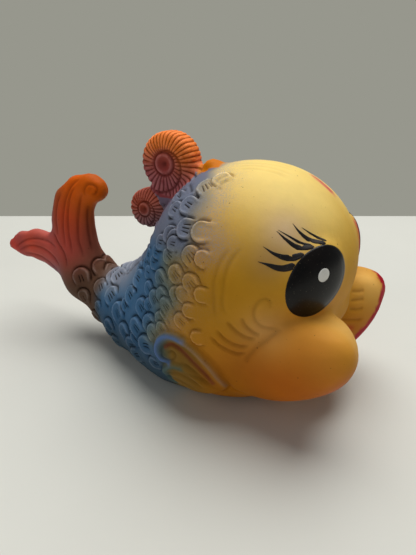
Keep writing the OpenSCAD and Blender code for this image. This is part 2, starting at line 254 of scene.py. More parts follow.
def netted(shape: Shape, low: Points, high: Points, step: float) -> tuple[Points, Points]:
    """Meshes a distance function with one corner in each cell that its surface crosses.

    Args:
        shape: the distance function.
        low: lowest corner of the lattice.
        high: highest corner of the lattice.
        step: side of a cell.

    Returns:
        The corners, and the quads as rows of four corner numbers.
    """
    n = np.ceil((high - low) / step).astype(int)
    grid = np.stack(np.meshgrid(*[np.arange(k + 1) for k in n], indexing="ij"), -1) * step + low
    v = np.stack([shape(slab) for slab in grid])
    v[v == 0] = 1e-6
    total, count = np.zeros((*n, 3)), np.zeros(n)
    for axis in range(3):
        others = [k for k in range(3) if k != axis]
        for da in (0, 1):
            for db in (0, 1):
                start = np.zeros(3, int)
                start[others[0]], start[others[1]] = da, db
                first = tuple(slice(s, s + k) for s, k in zip(start, n))
                start[axis] = 1
                second = tuple(slice(s, s + k) for s, k in zip(start, n))
                a, b = v[first], v[second]
                cross = a * b < 0
                t = np.where(cross, a / np.where(cross, a - b, 1), 0)
                corner = start.astype(float)
                corner[axis] = 0
                place = np.broadcast_to(corner, (*n, 3)).copy()
                place[..., axis] = t
                total += place * cross[..., None]
                count += cross
    full = count > 0
    number = np.full(n, -1)
    number[full] = np.arange(full.sum())
    points = low + step * (np.argwhere(full) + total[full] / count[full][:, None])
    quads = []
    for axis in range(3):
        i, j = [(1, 2), (2, 0), (0, 1)][axis]
        core = [slice(0, k) for k in n]
        core[i], core[j] = slice(1, n[i]), slice(1, n[j])
        ahead = list(core)
        ahead[axis] = slice(1, n[axis] + 1)
        a, b = v[tuple(core)], v[tuple(ahead)]
        at = np.argwhere(a * b < 0)
        inside = (a < 0)[a * b < 0]
        at[:, i] += 1
        at[:, j] += 1
        unit_i, unit_j = np.eye(3, dtype=int)[i], np.eye(3, dtype=int)[j]
        four = np.stack([number[tuple((at - o).T)] for o in (unit_i + unit_j, unit_j, 0 * unit_i, unit_i)], 1)
        quads.append(np.where(inside[:, None], four, four[:, ::-1]))
    return points, np.vstack(quads)


Middles = dict[tuple[int, int], int]


def split(points: Points, quads: Points, chosen: Points, middles: Middles) -> tuple[Points, Points, Points]:
    """Splits the chosen quads in four.

    Args:
        points: corners of the surface.
        quads: rows of four corner numbers.
        chosen: True for each quad to split.
        middles: the middle corner of each edge split so far, which gains the new ones.

    Returns:
        The corners, the quads, and True for each quad that is new.
    """
    q = quads[chosen]
    ends = np.sort(np.stack([q, np.roll(q, -1, 1)], -1).reshape(-1, 2), 1)
    keys, back = np.unique(ends, axis=0, return_inverse=True)
    m = len(points) + back.reshape(-1, 4)
    centre = len(points) + len(keys) + np.arange(len(q))
    middles.update({(int(a), int(b)): len(points) + k for k, (a, b) in enumerate(keys)})
    made = np.vstack([points, points[keys].mean(1), points[q].mean(1)])
    small = np.vstack([np.stack([q[:, k], m[:, k], centre, m[:, k - 1]], 1) for k in range(4)])
    return made, np.vstack([quads[~chosen], small]), np.repeat([False, True], [(~chosen).sum(), len(small)])


def stitched(quads: Points, middles: Middles) -> list[list[int]]:
    """Gives each quad the corners that finer neighbours have on its edges.

    Args:
        quads: rows of four corner numbers.
        middles: the middle corner of each split edge.

    Returns:
        The faces as lists of corner numbers.
    """

    def between(a: int, b: int) -> list[int]:
        """The corners on an edge between its ends."""
        m = middles.get((a, b) if a < b else (b, a))
        return [] if m is None else [*between(a, m), m, *between(m, b)]

    return [[x for a, b in zip(q, q[1:] + q[:1]) for x in (a, *between(a, b))] for q in quads.tolist()]


def unit(v: Points) -> Points:
    """Vectors of length 1."""
    return v / np.maximum(np.linalg.norm(v, axis=-1, keepdims=True), 1e-9)


class Crop(Enum):
    """Parts of the photograph that places are read from: left edge, top edge and enlargement."""

    WHOLE = (0, 0, 1)
    TAIL = (0, 125, 6)
    BODY = (40, 225, 7)
    HEAD = (195, 130, 6)


@dataclass(frozen=True)
class View:
    """Where the photograph was taken from, in metres.

    Attributes:
        eye_at: the camera's place.
        look_at: the place in the middle of the picture.
        lens: focal length in millimetres.
        film: height of the film in millimetres.
        wide: width of the picture in pixels.
        high: height of the picture in pixels.
    """

    eye_at: tuple[float, float, float] = (0.06661, -0.14899, 0.11507)
    look_at: tuple[float, float, float] = (-0.01261, 0, 0.0417)
    lens: float = 28.86
    film: float = 36
    wide: int = 416
    high: int = 555

    def rays(self, crop: Crop, places: Places) -> tuple[Points, Points]:
        """The eye, and the way from it to each place in a part of the picture, in millimetres.

        Args:
            crop: the part of the picture.
            places: places in it, across and down.

        Returns:
            The eye's place, and a direction of length 1 for each place.
        """
        eye, look = np.array(self.eye_at) / MM, np.array(self.look_at) / MM
        ahead = unit(look - eye)
        right = unit(np.cross(ahead, [0, 0, 1]))
        left, top, zoom = crop.value
        at = np.array(places, float) / zoom + [left - self.wide / 2, top - self.high / 2]
        at *= self.film / self.lens / self.high
        return eye, unit(ahead + at[:, :1] * right - at[:, 1:] * np.cross(right, ahead))


# Where the search for the skin starts and ends, how near to it a place counts as on it, in millimetres,
# and the most steps that it takes.
NEAREST, FARTHEST, ON_SKIN, MOST_STEPS = 60.0, 400.0, 0.02, 300


@dataclass
class FishForm:
    """The form of the moulding, with the same sizes as the CAD part, in millimetres."""

    head: Egg = Egg((7.1, 0, 55.5), (76.2, 76.0, 69.6), 6)
    jaw: Egg = Egg((1.63, 0, 27.4), (69.4, 71.2, 60.6))
    lip: Egg = Egg((38.2, 13.5, 28.6), (39.6, 13.6, 27.2), 46, 40)
    cheek: Egg = Egg((28.1, 25.0, 28.6), (55.8, 19.6, 28.2), 28, 13)
    mouth: Egg = Egg((50.1, 0, 28.0), (20, 23, 17))
    chin: Egg = Egg((43.9, 0, 17.7), (12.1, 26.5, 12.1))
    muzzle: Egg = Egg((35.5, 0, 40.6), (17.0, 26.1, 14.0), 20)
    eye: Egg = Egg((35.2, 20.5, 58.65), (22, 9, 26), -42, -54)
    fin: Egg = Egg((-4.3, 31.7, 23.6), (32, 11, 21), -30)
    big: tuple[float, float] = (-28.4, 87.4)
    big_d: float = 23.2
    big_t: float = 12.0
    small: tuple[float, float] = (-39.5, 68.3)
    small_d: float = 16.0
    small_t: float = 10.0
    bud: tuple[float, float] = (-10.35, 86.0)
    bud_d: float = 7.8
    wall: float = 2.6
    whistle_x: float = -20.0
    boss_d: float = 28.4
    boss_h: float = 4.8

    def __post_init__(self) -> None:
        """Sets out the limbs: x, z, radius and flatness at each joint."""
        self.spine = np.array([(3.1, 51.4, 31.3, 1), (-24.4, 23.2, 28.9, 1), (-45.7, 20.7, 20.3, 1),
                               (-62.9, 21.6, 11.9, 1), (-77.4, 28.9, 11, 0.85)])
        self.tall = np.array([(-78.6, 28.9, 11.2, 0.85), (-83.9, 43.5, 12.2, 0.5), (-84.4, 54.5, 11.9, 0.42),
                              (-82.7, 63, 10.4, 0.42), (-77.2, 69.8, 7.8, 0.5), (-70.8, 73.2, 5.4, 0.8),
                              (-67.8, 72.4, 4.8, 1)])
        self.short = np.array([(-81, 31, 11.5, 0.7), (-97, 38.3, 9.1, 0.5), (-109, 40.2, 7.8, 0.45),
                               (-120.2, 39.0, 6.1, 0.4), (-128.7, 37.3, 3.1, 0.6)])
        self.nape = np.array([(-31, 73, 6.5, 0.75), (-17, 82, 4.5, 0.9)])

    def trunk(self, p: Points) -> Points:
        """Head, lower face and body."""
        body = joined(self.head.distance(p), limbs(p, self.spine, 5), 9)
        return joined(body, self.jaw.distance(p), 14)

    def outside(self, point: Points) -> Points:
        """Distance to the outer skin.

        Args:
            point: the points.

        Returns:
            The distances, below zero inside the fish.
        """
        p = point.copy()
        p[..., 1] = np.abs(p[..., 1])
        face = joined(self.lip.distance(p), self.cheek.distance(p), 8)
        face = joined(joined(face, self.muzzle.distance(p), 3), self.chin.distance(p), 3)
        d = joined(joined(self.trunk(p), face, 3), self.fin.distance(p), 3)
        d = carved(joined(d, self.eye.distance(p), 2.4), self.mouth.distance(p), 2.4)
        tail = joined(limbs(p, self.tall, 3), limbs(p, self.short, 3), 6)
        small = coin(p, self.small, self.small_d, self.small_t)
        curls = joined(coin(p, self.big, self.big_d, self.big_t), small, 3)
        bud = np.sqrt((p[..., 0] - self.bud[0]) ** 2 + p[..., 1] ** 2 + (p[..., 2] - self.bud[1]) ** 2)
        curls = joined(joined(curls, bud - self.bud_d / 2, 2), limbs(p, self.nape, 3), 3)
        return carved(joined(joined(d, tail, 6), curls, 3), p[..., 2], 2.4)

    def hollow(self, point: Points) -> Points:
        """Distance to the hollow inside, which leaves a boss for the whistle.

        Args:
            point: the points.

        Returns:
            The distances, below zero in the hollow.
        """
        p = point.copy()
        p[..., 1] = np.abs(p[..., 1])
        d = joined(self.trunk(p), self.cheek.distance(p), 8) + self.wall
        d = carved(d, self.mouth.distance(p) - self.wall, 14)
        away = np.hypot(p[..., 0] - self.whistle_x, p[..., 1])
        boss = np.maximum(away - self.boss_d / 2, p[..., 2] - self.boss_h)
        return carved(carved(d, boss, 2.4), p[..., 2] - self.wall, 2.4)

    def onto(self, p: Points, tries: int = 6) -> Points:
        """Moves places, given on the left side, onto the outer skin."""
        return settled(self.outside, np.array(p, float), tries)

    def seen(self, crop: Crop, places: Places) -> Points:
        """Casts places in a part of the photograph onto the skin, and folds them onto the left side.

        Args:
            crop: the part of the photograph.
            places: places in it, across and down.

        Returns:
            The places on the skin, or the nearest ones where the view passes it by.
        """
        eye, way = View().rays(crop, places)
        far = np.full(len(way), NEAREST)
        held, least = far, np.full(len(way), np.inf)
        for _ in range(MOST_STEPS):
            gap = self.outside(eye + way * far[:, None])
            held, least = np.where(gap < least, far, held), np.minimum(gap, least)
            if (gap < ON_SKIN).all():
                break
            far = np.minimum(np.where(gap < ON_SKIN, far, far + np.maximum(0.7 * gap, ON_SKIN)), FARTHEST)
        spots = eye + way * held[:, None]
        spots[:, 1] = np.abs(spots[:, 1])
        return spots

    def track(self, crop: Crop | None, places: Places, gap: float) -> Points:
        """A smooth line on the left side of the skin, through places in the photograph or in millimetres."""
        given = np.array(places, float) if crop is None else self.seen(crop, places)
        return self.onto(curve_through(given, gap), 3)


# Scales read off the photograph: across, down, the way the round end points in degrees, half width and slits.
SCALES = {
    Crop.BODY: [
        (288, 362, 105, 3.6, 2), (312, 500, 110, 3.2, 1), (429, 431, 96, 3.6, 2), (429, 293, 114, 3.5, 0),
        (552, 352, 111, 3.6, 3), (500, 492, 108, 3.5, 3), (636, 488, 105, 3.3, 2), (410, 575, 110, 2.6, 1),
        (550, 611, 100, 3.9, 2), (690, 372, 117, 3.2, 2), (712, 572, 110, 3, 2), (805, 512, 105, 2.8, 3),
        (765, 445, 105, 2.6, 1), (487, 702, 115, 2.9, 2), (592, 742, 110, 3.2, 2), (676, 714, 116, 3.4, 2),
        (770, 690, 110, 3.3, 3), (850, 662, 110, 2.8, 3), (885, 562, 115, 2.7, 3), (955, 488, 110, 2.6, 2),
        (950, 344, 117, 2.8, 3), (848, 372, 110, 2.8, 2), (745, 838, 156, 3.5, 2), (680, 905, 166, 3, 2),
        (812, 962, 160, 2.8, 2), (990, 671, 127, 2.6, 2), (1055, 405, 120, 2.7, 3),
        (1055, 215, 120, 2.9, 3), (1137, 237, 150, 2.4, 0), (1132, 491, 166, 2.4, 0),
        (1045, 600, 165, 2.4, 0), (1105, 790, 175, 2.4, 0), (935, 90, 160, 2.6, 3),
        (846, 119, 158, 2.5, 2), (905, 215, 124, 2.6, 2), (800, 260, 149, 2.4, 1), (760, 330, 126, 2.3, 1),
        (640, 830, 150, 2.9, 1), (540, 810, 140, 2.8, 1), (517, 339, 72, 3.6, 3),
    ],
    Crop.TAIL: [
        (1240, 372, 120, 3.2, 3), (1130, 480, 147, 3, 2), (1112, 620, 170, 3, 3), (1050, 505, 143, 2.7, 2),
        (1015, 655, 169, 2.6, 2), (1205, 640, 175, 3, 0), (1330, 325, 145, 2.8, 0),
        (1070, 430, 140, 2.4, 1),
    ],
    Crop.WHOLE: [
        (126, 304, 103, 2.6, 3), (110, 331, 129, 2.6, 2), (157, 251, 142, 2.4, 3),
        (149, 254.5, 109, 2.1, 2), (146, 262, 99, 1.9, 1), (140, 267.5, 91, 2.3, 1),
        (162.5, 295.5, 112, 2.8, 1), (149, 305, 108, 2.4, 2), (165.3, 311.8, 114, 2.3, 3),
        (161.5, 328, 110, 2.2, 2), (176, 300.5, 113, 2.2, 3), (152.5, 332, 110, 2.8, 1),
        (136, 338, 128, 2.8, 2), (97, 316.5, 135, 2.8, 2), (172.5, 243.5, 162, 2.2, 2),
        (183.5, 294.5, 125, 2.7, 0),
    ],
}


@dataclass(frozen=True)
class Line:
    """One worked line.

    Attributes:
        crop: the part of the photograph that its places are read in, or None where they are in millimetres.
        places: the places that it goes through.
        width: its half width in millimetres.
        depth: its depth or height in millimetres.
        dirt: how dark its groove is made, partly grime and partly painted shade.
        kind: groove or ridge.
    """

    crop: Crop | None
    places: Places
    width: float
    depth: float
    dirt: float
    kind: Mark = Mark.GROOVE


# Lines read off the photograph, part by part.
GILLS = [
    ((205, 715), (150, 800), (115, 900), (110, 1000), (115, 1080), (125, 1130)),
    ((275, 715), (215, 790), (180, 880), (165, 980), (165, 1060), (190, 1110)),
]
WAVES = [
    ((90, 1240), (140, 1290), (200, 1325), (260, 1345), (310, 1340)),
    ((125, 1200), (170, 1250), (225, 1285), (280, 1300), (325, 1295)),
    ((190, 1150), (235, 1200), (285, 1235), (335, 1255), (370, 1255)),
    ((280, 1125), (300, 1170), (330, 1200), (365, 1225), (395, 1230)),
]
CHEEK_CURL = ((455, 1070), (455, 1035), (430, 1015), (395, 1025), (365, 1060), (355, 1105), (370, 1150),
              (405, 1180), (460, 1192), (520, 1195))
CHEEK_CREASE = ((300, 1400), (330, 1350), (380, 1300), (450, 1245), (520, 1190))
JAW_LINE = ((60, 1340), (75, 1390), (100, 1430), (140, 1470), (190, 1530), (260, 1570), (320, 1585))
NAPE_ARCS = [((120, 345), (135, 310), (180, 285), (235, 265)), ((145, 365), (155, 330), (200, 300))]
CROWN = [
    ((240, 204), (350, 198), (477, 210), (592, 244)),
    ((250, 218), (379, 215), (500, 237), (590, 274)),
    ((259, 232), (400, 238), (497, 260), (560, 293)),
]
FIN_RIM = ((900, 960), (852, 935), (829, 893), (822, 850), (840, 805), (885, 780), (940, 785), (1000, 815),
           (1050, 850), (1110, 905), (1180, 985), (1240, 1060), (1300, 1125))
FIN_SECOND = ((880, 850), (920, 833), (970, 858), (1020, 903), (1080, 965), (1150, 1037), (1210, 1105))
FIN_CURL = ((850, 882), (858, 918), (900, 943), (940, 937), (950, 908), (926, 882), (895, 896))
FIN_THIRD = ((990, 947), (1060, 1003), (1132, 1069), (1193, 1127))
TALL_RIBS = [
    ((390, 740), (375, 620), (378, 520), (395, 430), (430, 360), (477, 326)),
    ((430, 780), (408, 640), (405, 520), (420, 420), (450, 372)),
    ((500, 800), (470, 690), (468, 560), (480, 450), (496, 409)),
    ((346, 660), (332, 569), (338, 481), (365, 406)),
    ((556, 760), (535, 650), (528, 560), (532, 479)),
]
TALL_CURL = ((510, 423), (505, 386), (524, 359), (557, 360), (583, 384), (574, 415), (545, 417))
SHORT_RIBS = [
    ((95, 731), (149, 691), (217, 681), (290, 700), (340, 740)),
    ((115, 748), (180, 722), (250, 738), (310, 780), (360, 850)),
    ((150, 768), (220, 780), (290, 820), (350, 880)),
]
TAIL_FORK = ((322, 645), (335, 690), (375, 760), (400, 850))
PUCKERS = [
    ((351, 291), (354, 291.5), (359, 291.5), (364.5, 290.5)),
    ((350.5, 300), (353.5, 300.5), (358, 300), (364.5, 299)),
    ((349, 309.5), (352.5, 309.5), (357.5, 309.5), (363.5, 308)),
    ((341.5, 319), (347, 320), (356, 320), (363, 319)),
]
LIP_EDGE = ((380.5, 275.5), (383, 280), (384, 290), (382, 298.5), (378.3, 309.5), (372.8, 319.3),
            (367, 327), (361, 333), (356, 338))
LEAF_RIBS = [
    ((169, 368), (178, 368), (190, 373), (203, 379.5), (216, 387.5)),
    ((168, 372), (178, 373), (190, 379), (203, 387)),
    ((169, 375), (173.5, 376.5), (187.5, 384), (199, 390.5)),
]
WEB_RIBS = [
    ((163, 208), (166, 204), (170, 200)), ((181, 189.5), (180.5, 191.5), (180, 198)),
    ((189, 184.2), (190, 187), (191.5, 192.5)),
]
BACK_LINE = ((125.5, 273.5), (128.5, 272.5), (135.5, 265.5), (142, 259.5))
CROWN_MARK = ((315, 177), (323, 183.5), (331, 191))
BROW_MARK = ((357, 224), (360, 236.5), (359.5, 249.5))

# Lines that the photograph partly hides, in millimetres: the fin's lower curl and ribs between the discs.
FIN_LOWER = ((5.5, 35.5, 17), (2.5, 37, 20.5), (-0.5, 37.5, 22.5), (-3.5, 37.5, 23), (-7, 37, 22.5),
             (-10.5, 36, 20), (-13, 32.5, 15.5), (-12.5, 30.5, 12), (-9.5, 30, 11), (-7.5, 32, 12.5))
HIDDEN_RIBS = [
    ((-31.5, 4.5, 68), (-28.5, 6.5, 69.5), (-24.5, 8.5, 72.5)),
    ((-26.5, 5.5, 75), (-23.5, 9, 75.5), (-20.5, 13, 75)),
    ((-22.5, 8.5, 78), (-19.5, 12, 77.5), (-16.5, 16.5, 77)),
]
# The side fin's outline on the side view, x and z in millimetres.
FIN_EDGE = ((-8.9, 22.6), (-12.4, 22.8), (-14.9, 25.2), (-15.3, 28.2), (-14.0, 31.8), (-10.6, 34.6),
            (-6.4, 35.6), (-2.5, 35.2), (0.8, 34.0), (4.2, 31.4), (7.8, 27.3), (10.6, 22.8), (12.8, 17.4),
            (9.0, 13.2), (2.0, 12.4), (-5.0, 12.6), (-9.4, 9.8), (-13.6, 11.6), (-14.4, 15.8), (-12.6, 20.0))


def inside_of(edge: tuple[tuple[float, float], ...], p: Points) -> Points:
    """How far points lie inside a closed outline in the mid-plane, and below zero outside it.

    Args:
        edge: the outline's corners, x and z.
        p: the points.

    Returns:
        The depths.
    """
    q, corners = p[:, [0, 2]], np.array(edge)
    best, within = np.full(len(q), 1e9), np.zeros(len(q), bool)
    for a, b in zip(corners, np.roll(corners, -1, 0)):
        run = b - a
        t = np.clip((q - a) @ run / (run @ run), 0, 1)[:, None]
        best = np.minimum(best, np.linalg.norm(q - a - t * run, axis=1))
        crossed = (a[1] > q[:, 1]) != (b[1] > q[:, 1])
        within ^= crossed & (q[:, 0] < a[0] + (q[:, 1] - a[1]) * run[0] / (run[1] if run[1] else 1e-9))
    return np.where(within, best, -best)


def leaf_depth(p: Points) -> Points:
    """How far points on the left side lie inside the fin's outline, or a low value far from it.

    Args:
        p: the points.

    Returns:
        The depths.
    """
    depth = np.full(len(p), -9.0)
    some = np.flatnonzero((p[:, 1] > 22) & (np.abs(p[:, 0]) < 20) & (p[:, 2] < 42))
    depth[some] = inside_of(FIN_EDGE, p[some])
    return depth


def face_lines() -> list[Line]:
    """Lists every line worked into the moulding, apart from the scales and the curls' ribs.

    Returns:
        The lines in the order of the work.
    """
    head, body, tail, whole = Crop.HEAD, Crop.BODY, Crop.TAIL, Crop.WHOLE
    alike = [
        (head, WAVES, 0.75, 0.7, 0.95), (head, GILLS, 0.75, 0.35, 0.45),
        (head, [CHEEK_CURL], 0.75, 0.42, 0.6), (head, [CHEEK_CREASE], 0.9, 0.6, 0.6),
        (head, [JAW_LINE], 0.9, 0.45, 0.4), (head, NAPE_ARCS, 0.8, 0.4, 0.6), (head, CROWN, 0.9, 0.22, 0.25),
        (body, [FIN_RIM], 1.25, 1.0, 0, Mark.RIDGE), (body, [FIN_SECOND], 0.7, 0.55, 0.8),
        (body, [FIN_CURL], 0.7, 0.6, 0.8), (body, [FIN_THIRD], 0.7, 0.5, 0.6),
        (None, [FIN_LOWER], 1.0, 0.8, 0, Mark.RIDGE), (tail, TALL_RIBS, 0.85, 0.65, 0.5),
        (tail, SHORT_RIBS, 0.8, 0.6, 0.5), (tail, [TALL_CURL], 0.7, 0.5, 0.5),
        (tail, [TAIL_FORK], 1.0, 0.8, 0.6), (whole, PUCKERS, 0.75, 0.5, 0.7),
        (whole, LEAF_RIBS, 0.65, 0.5, 0.7), (whole, WEB_RIBS, 0.7, 0.55, 0.7),
        (None, HIDDEN_RIBS, 0.7, 0.55, 0.7), (whole, [BACK_LINE], 0.7, 0.5, 0.6),
    ]
    return [Line(crop, places, *rest) for crop, group, *rest in alike for places in group]


# How many ribs go round the big and the small disc, and how far past the edge they run.
BIG_RIBS, SMALL_RIBS = (38, 1.35), (30, 1.25)
# Dimples of the bud, the tall tail's curl and the fin's two curls: middle, half width and depth.
DIMPLES = [
    ((-10.75, 3.9, 86.1), 1.3, 0.8), ((-67.2, 4.9, 73.2), 1.3, 0.7),
    ((-8.6, 37.4, 26.6), 1.2, 0.5), ((-10.6, 34.0, 13.6), 1.0, 0.4),
]


class Relief:
    """Raised and sunk work on the outer skin, gathered point by point."""

    def __init__(self, form: FishForm, points: Points, normals: Points) -> None:
        """Keeps the points folded onto the left side, and starts with nothing on them."""
        sign = np.where(points[:, 1] < 0, -1.0, 1.0)[:, None] * [0, 1, 0] + [1, 0, 1]
        self.form, self.p, self.n, self.normals = form, points * sign, normals * sign, normals
        self.height, self.dirt, self.rim, self.comb, self.combed = (np.zeros(len(points)) for _ in range(5))
        self.near, self.sharp = np.zeros(len(points), bool), np.zeros(len(points), bool)

    def scale(self, row: tuple[float, ...]) -> None:
        """Lays one scale over what lies behind it.

        Args:
            row: its place, the way its round end points in degrees, its half width and its slits.
        """
        middle, turn, r, slits = np.array(row[:3]), math.radians(row[3]), 1.17 * row[4], int(row[5])
        q = self.p - middle
        some = np.flatnonzero((q * q).sum(1) < (2.3 * r) ** 2)
        if not len(some):
            return
        n = self.n[some[np.argmin((q[some] ** 2).sum(1))]]
        some = some[self.n[some] @ n > 0.3]
        q = q[some]
        up = np.array([math.cos(turn), 0.0, math.sin(turn)])
        up[1] = -(up @ n) / max(n[1], 0.2)
        up -= (up @ n) * n
        up /= np.linalg.norm(up)
        a, b = q @ np.cross(n, up) / r, q @ up / r
        rho = np.where(b > 0, np.hypot(a, b), np.abs(a) * (1 + 0.12 * np.abs(b)))
        fade = smooth(-1.5, -0.8, b)
        inside = smooth(1.06, 0.96, rho) * fade
        comb = a / (0.93 - 0.35 * b) / 0.36 + slits / 2
        on = smooth(0.0, 0.1, comb) * smooth(slits, slits - 0.1, comb)
        on *= smooth(-0.62, -0.5, b) * smooth(0.3, 0.16, b)
        slit = on * bell(comb % 1 - 0.5, 0.3)
        lip = bell(rho - 0.87, 0.11)
        dome = smooth(-1.4, 0.4, b) * (0.13 + 0.09 * np.sqrt(np.clip(1 - rho * rho, 0, 1)))
        made = r * (dome + 0.12 * lip - 0.14 * slit)
        # Outside the round end the gap is darkened, partly grime and partly painted shade, and the lip is
        # lightened, partly rubbed paint and partly painted highlight.
        gap = bell(rho - 1.11, 0.13) * smooth(-1.0, -0.4, b) * (1 - inside)
        self.height[some] = self.height[some] * (1 - inside) + made * inside - 0.2 * r * gap
        self.dirt[some] = np.maximum(self.dirt[some] * (1 - inside) + slit * 0.3 * inside, gap)
        self.rim[some] = self.rim[some] * (1 - inside) + lip * inside * smooth(-0.9, -0.3, b)
        self.comb[some] = np.where(inside > 0.5, comb, self.comb[some])
        self.combed[some] = self.combed[some] * (1 - inside) + on * inside
        self.near[some] |= rho < 1.3
        self.sharp[some] |= (slit > 0.45) | ((np.abs(rho - 0.99) < 0.16) & (b > -0.6))

    def line(self, made: Line) -> None:
        """Works one line in, fading at both ends.

        Args:
            made: the line.
        """
        track = self.form.track(made.crop, made.places, 0.35)
        low, high = track.min(0) - 2.5 * made.width, track.max(0) + 2.5 * made.width
        some = np.flatnonzero(((self.p > low) & (self.p < high)).all(1))
        if not len(some):
            return
        best, at = np.full(len(some), 1e9), np.zeros(len(some), int)
        for k, place in enumerate(track):
            d = ((self.p[some] - place) ** 2).sum(1)
            closer = d < best
            best[closer], at[closer] = d[closer], k
        along = at / max(1, len(track) - 1)
        taper = np.clip(np.minimum(along, 1 - along) * 7, 0, 1) ** 0.6
        away = np.sqrt(best)
        line = bell(away, made.width * (0.6 + 0.4 * taper)) * taper
        self.height[some] += made.kind.value * made.depth * line
        # Grooves are darkened, and so are the sides of ridges, partly grime and partly painted shade; a
        # ridge's top loses its lightening.
        if made.kind is Mark.RIDGE:
            beside = bell(away - 2.0 * made.width, made.width * 0.6) * taper
            self.height[some] -= 0.3 * made.depth * beside
            self.dirt[some] = np.maximum(self.dirt[some] * (1 - line), beside * 0.55)
            self.rim[some] *= 1 - line
        else:
            self.dirt[some] = np.maximum(self.dirt[some], bell(away, made.width * 0.75) * taper * made.dirt)
        self.near[some] |= away < 2.0 * made.width
        self.sharp[some] |= away < 1.15 * made.width

    def whorl(self, at: tuple[float, float], d: float, ribs: int, reach: float) -> None:
        """Turns a flat disc of the crest into a ribbed curl with a dimple.

        Args:
            at: the disc's middle, x and z.
            d: its diameter.
            ribs: how many ribs go round it.
            reach: how far the ribs run past its edge, as a share of the radius.
        """
        x, z = self.p[:, 0] - at[0], self.p[:, 2] - at[1]
        r, turn = np.hypot(x, z) / (d / 2), np.arctan2(z, x)
        here = (r < reach) & (self.p[:, 1] < d * 0.42)
        swept = (2.6 - turn) % (2 * math.pi)
        seam = 0.37 + 0.02 * swept + 0.027 * swept**2
        inner = smooth(0.0, -0.02, r - seam)
        comb = 100.5 + turn / (2 * math.pi) * np.where(inner > 0.5, ribs - 10, ribs) + 0.4 * r
        end = reach - 0.33 * bell(turn + 1.9, 0.9)
        on = smooth(0.40, 0.44, r) * smooth(end, end - 0.06, r) * smooth(0.015, 0.05, math.pi - np.abs(turn))
        on *= 1 - bell(r - seam, 0.03)
        cut = on * bell(comb % 1 - 0.5, 0.2)
        ring = np.maximum(bell(r - 0.37, 0.035), bell(r - seam, 0.035) * smooth(0.2, 0.8, swept) * (r < 1.02))
        h = 0.12 - 0.4 * cut - 0.8 * ring - 0.9 * bell(r, 0.2)
        h += 0.35 * bell(r - 0.27, 0.06) - 0.5 * bell(r, 0.07)
        self.height = np.where(here, self.height * (1 - smooth(reach, reach * 0.8, r)) + h, self.height)
        # The ring groove and the dimple are darkened, partly grime and partly painted shade; the ribs and the
        # ring ridge are lightened, partly rubbing and partly painted highlight.
        fresh = np.maximum.reduce([self.dirt * 0.3, cut * 0.15, ring * 0.75, 0.7 * bell(r, 0.09)])
        self.dirt = np.where(here, fresh, self.dirt)
        self.rim = np.where(here, on * (1 - cut) * 0.8 + bell(r - 0.29, 0.05), self.rim)
        self.comb, self.combed = np.where(here, comb, self.comb), np.where(here, 0.6 * on, self.combed)
        self.near |= here
        self.sharp |= here & (r < 1.1) & (self.p[:, 1] > 2)

    def dimple(self, at: tuple[float, float, float], width: float, depth: float) -> None:
        """Presses one round dimple in.

        Args:
            at: its middle.
            width: its half width.
            depth: its depth.
        """
        away = np.linalg.norm(self.p - np.array(at), axis=1)
        self.height -= depth * bell(away, width)
        self.near |= away < 2.2 * width

    def work(self) -> None:
        """Does all the work in order, from the tail to the head."""
        for row in all_scales(self.form):
            self.scale(row)
        leaf = leaf_depth(self.p)
        raised = smooth(-0.25, 0.7, leaf)
        self.height = self.height * (1 - raised) + 0.5 * raised - 0.25 * bell(leaf + 0.7, 0.5)
        # A dark band round the fin's outline, partly grime and partly painted shade.
        self.dirt = np.maximum(self.dirt * (1 - raised), 0.7 * bell(leaf + 0.6, 0.45))
        self.rim, self.combed = self.rim * (1 - raised), self.combed * (1 - raised)
        self.near |= leaf > -2
        self.sharp |= np.abs(leaf) < 0.9
        for line in face_lines():
            self.line(line)
        self.whorl(self.form.big, self.form.big_d, *BIG_RIBS)
        self.whorl(self.form.small, self.form.small_d, *SMALL_RIBS)
        for dimple in DIMPLES:
            self.dimple(*dimple)


# Scales of the back and belly: first x, last x and spacing of their rows, the least distance between
# two scales, and the way that each points, its half width and its slits.
FILL_ROWS, FILL_GAP, FILL_SCALE = (-73, -8, 5.4), 5.3, (150, 3.3, 2)


def all_scales(form: FishForm) -> list[tuple[float, ...]]:
    """The scales seen on the flank, with rows of the same kind on the back and belly.

    Args:
        form: the fish's form, for the skin that they lie on.

    Returns:
        All of them, from the tail to the head.
    """
    rows = []
    for crop, table in SCALES.items():
        at, turn = np.array([row[:2] for row in table], float), np.radians([row[2] for row in table])
        spots = form.seen(crop, at)
        eye, ways = View().rays(crop, at + np.stack([np.cos(turn), -np.sin(turn)], 1))
        near = spots * [1, -1, 1]
        n = unit(slopes(form.outside, near))
        far = ((near - eye) * n).sum(1) / (ways * n).sum(1)
        way = eye + ways * far[:, None] - near
        turns = np.degrees(np.arctan2(way[:, 2], way[:, 0])) % 360
        rows += [[*spot.tolist(), turn, *row[3:]] for spot, turn, row in zip(spots, turns, table)]
    for number, x in enumerate(np.arange(*FILL_ROWS)):
        z = float(np.interp(x, form.spine[::-1, 0], form.spine[::-1, 1]))
        radius = float(np.interp(x, form.spine[::-1, 0], form.spine[::-1, 2]))
        count = max(4, int(math.pi * radius / 6.0))
        for k in range(count + 1):
            turn = math.pi * (k + 0.5 * (number % 2)) / count
            out = np.array([0.0, math.sin(turn), math.cos(turn)])
            spot = form.onto((np.array([x, 0.0, z]) + out * radius)[None], 8)[0]
            if spot[2] < 2.5 or spot[1] > 0.42 * radius or (spot[0] > -24 and (spot[2] < 30 or spot[2] > 66)):
                continue
            if min(np.linalg.norm(spot - np.array(r[:3])) for r in rows) < FILL_GAP:
                continue
            rows.append([*spot.tolist(), *FILL_SCALE])
    return sorted((tuple(r) for r in rows), key=lambda r: r[0])
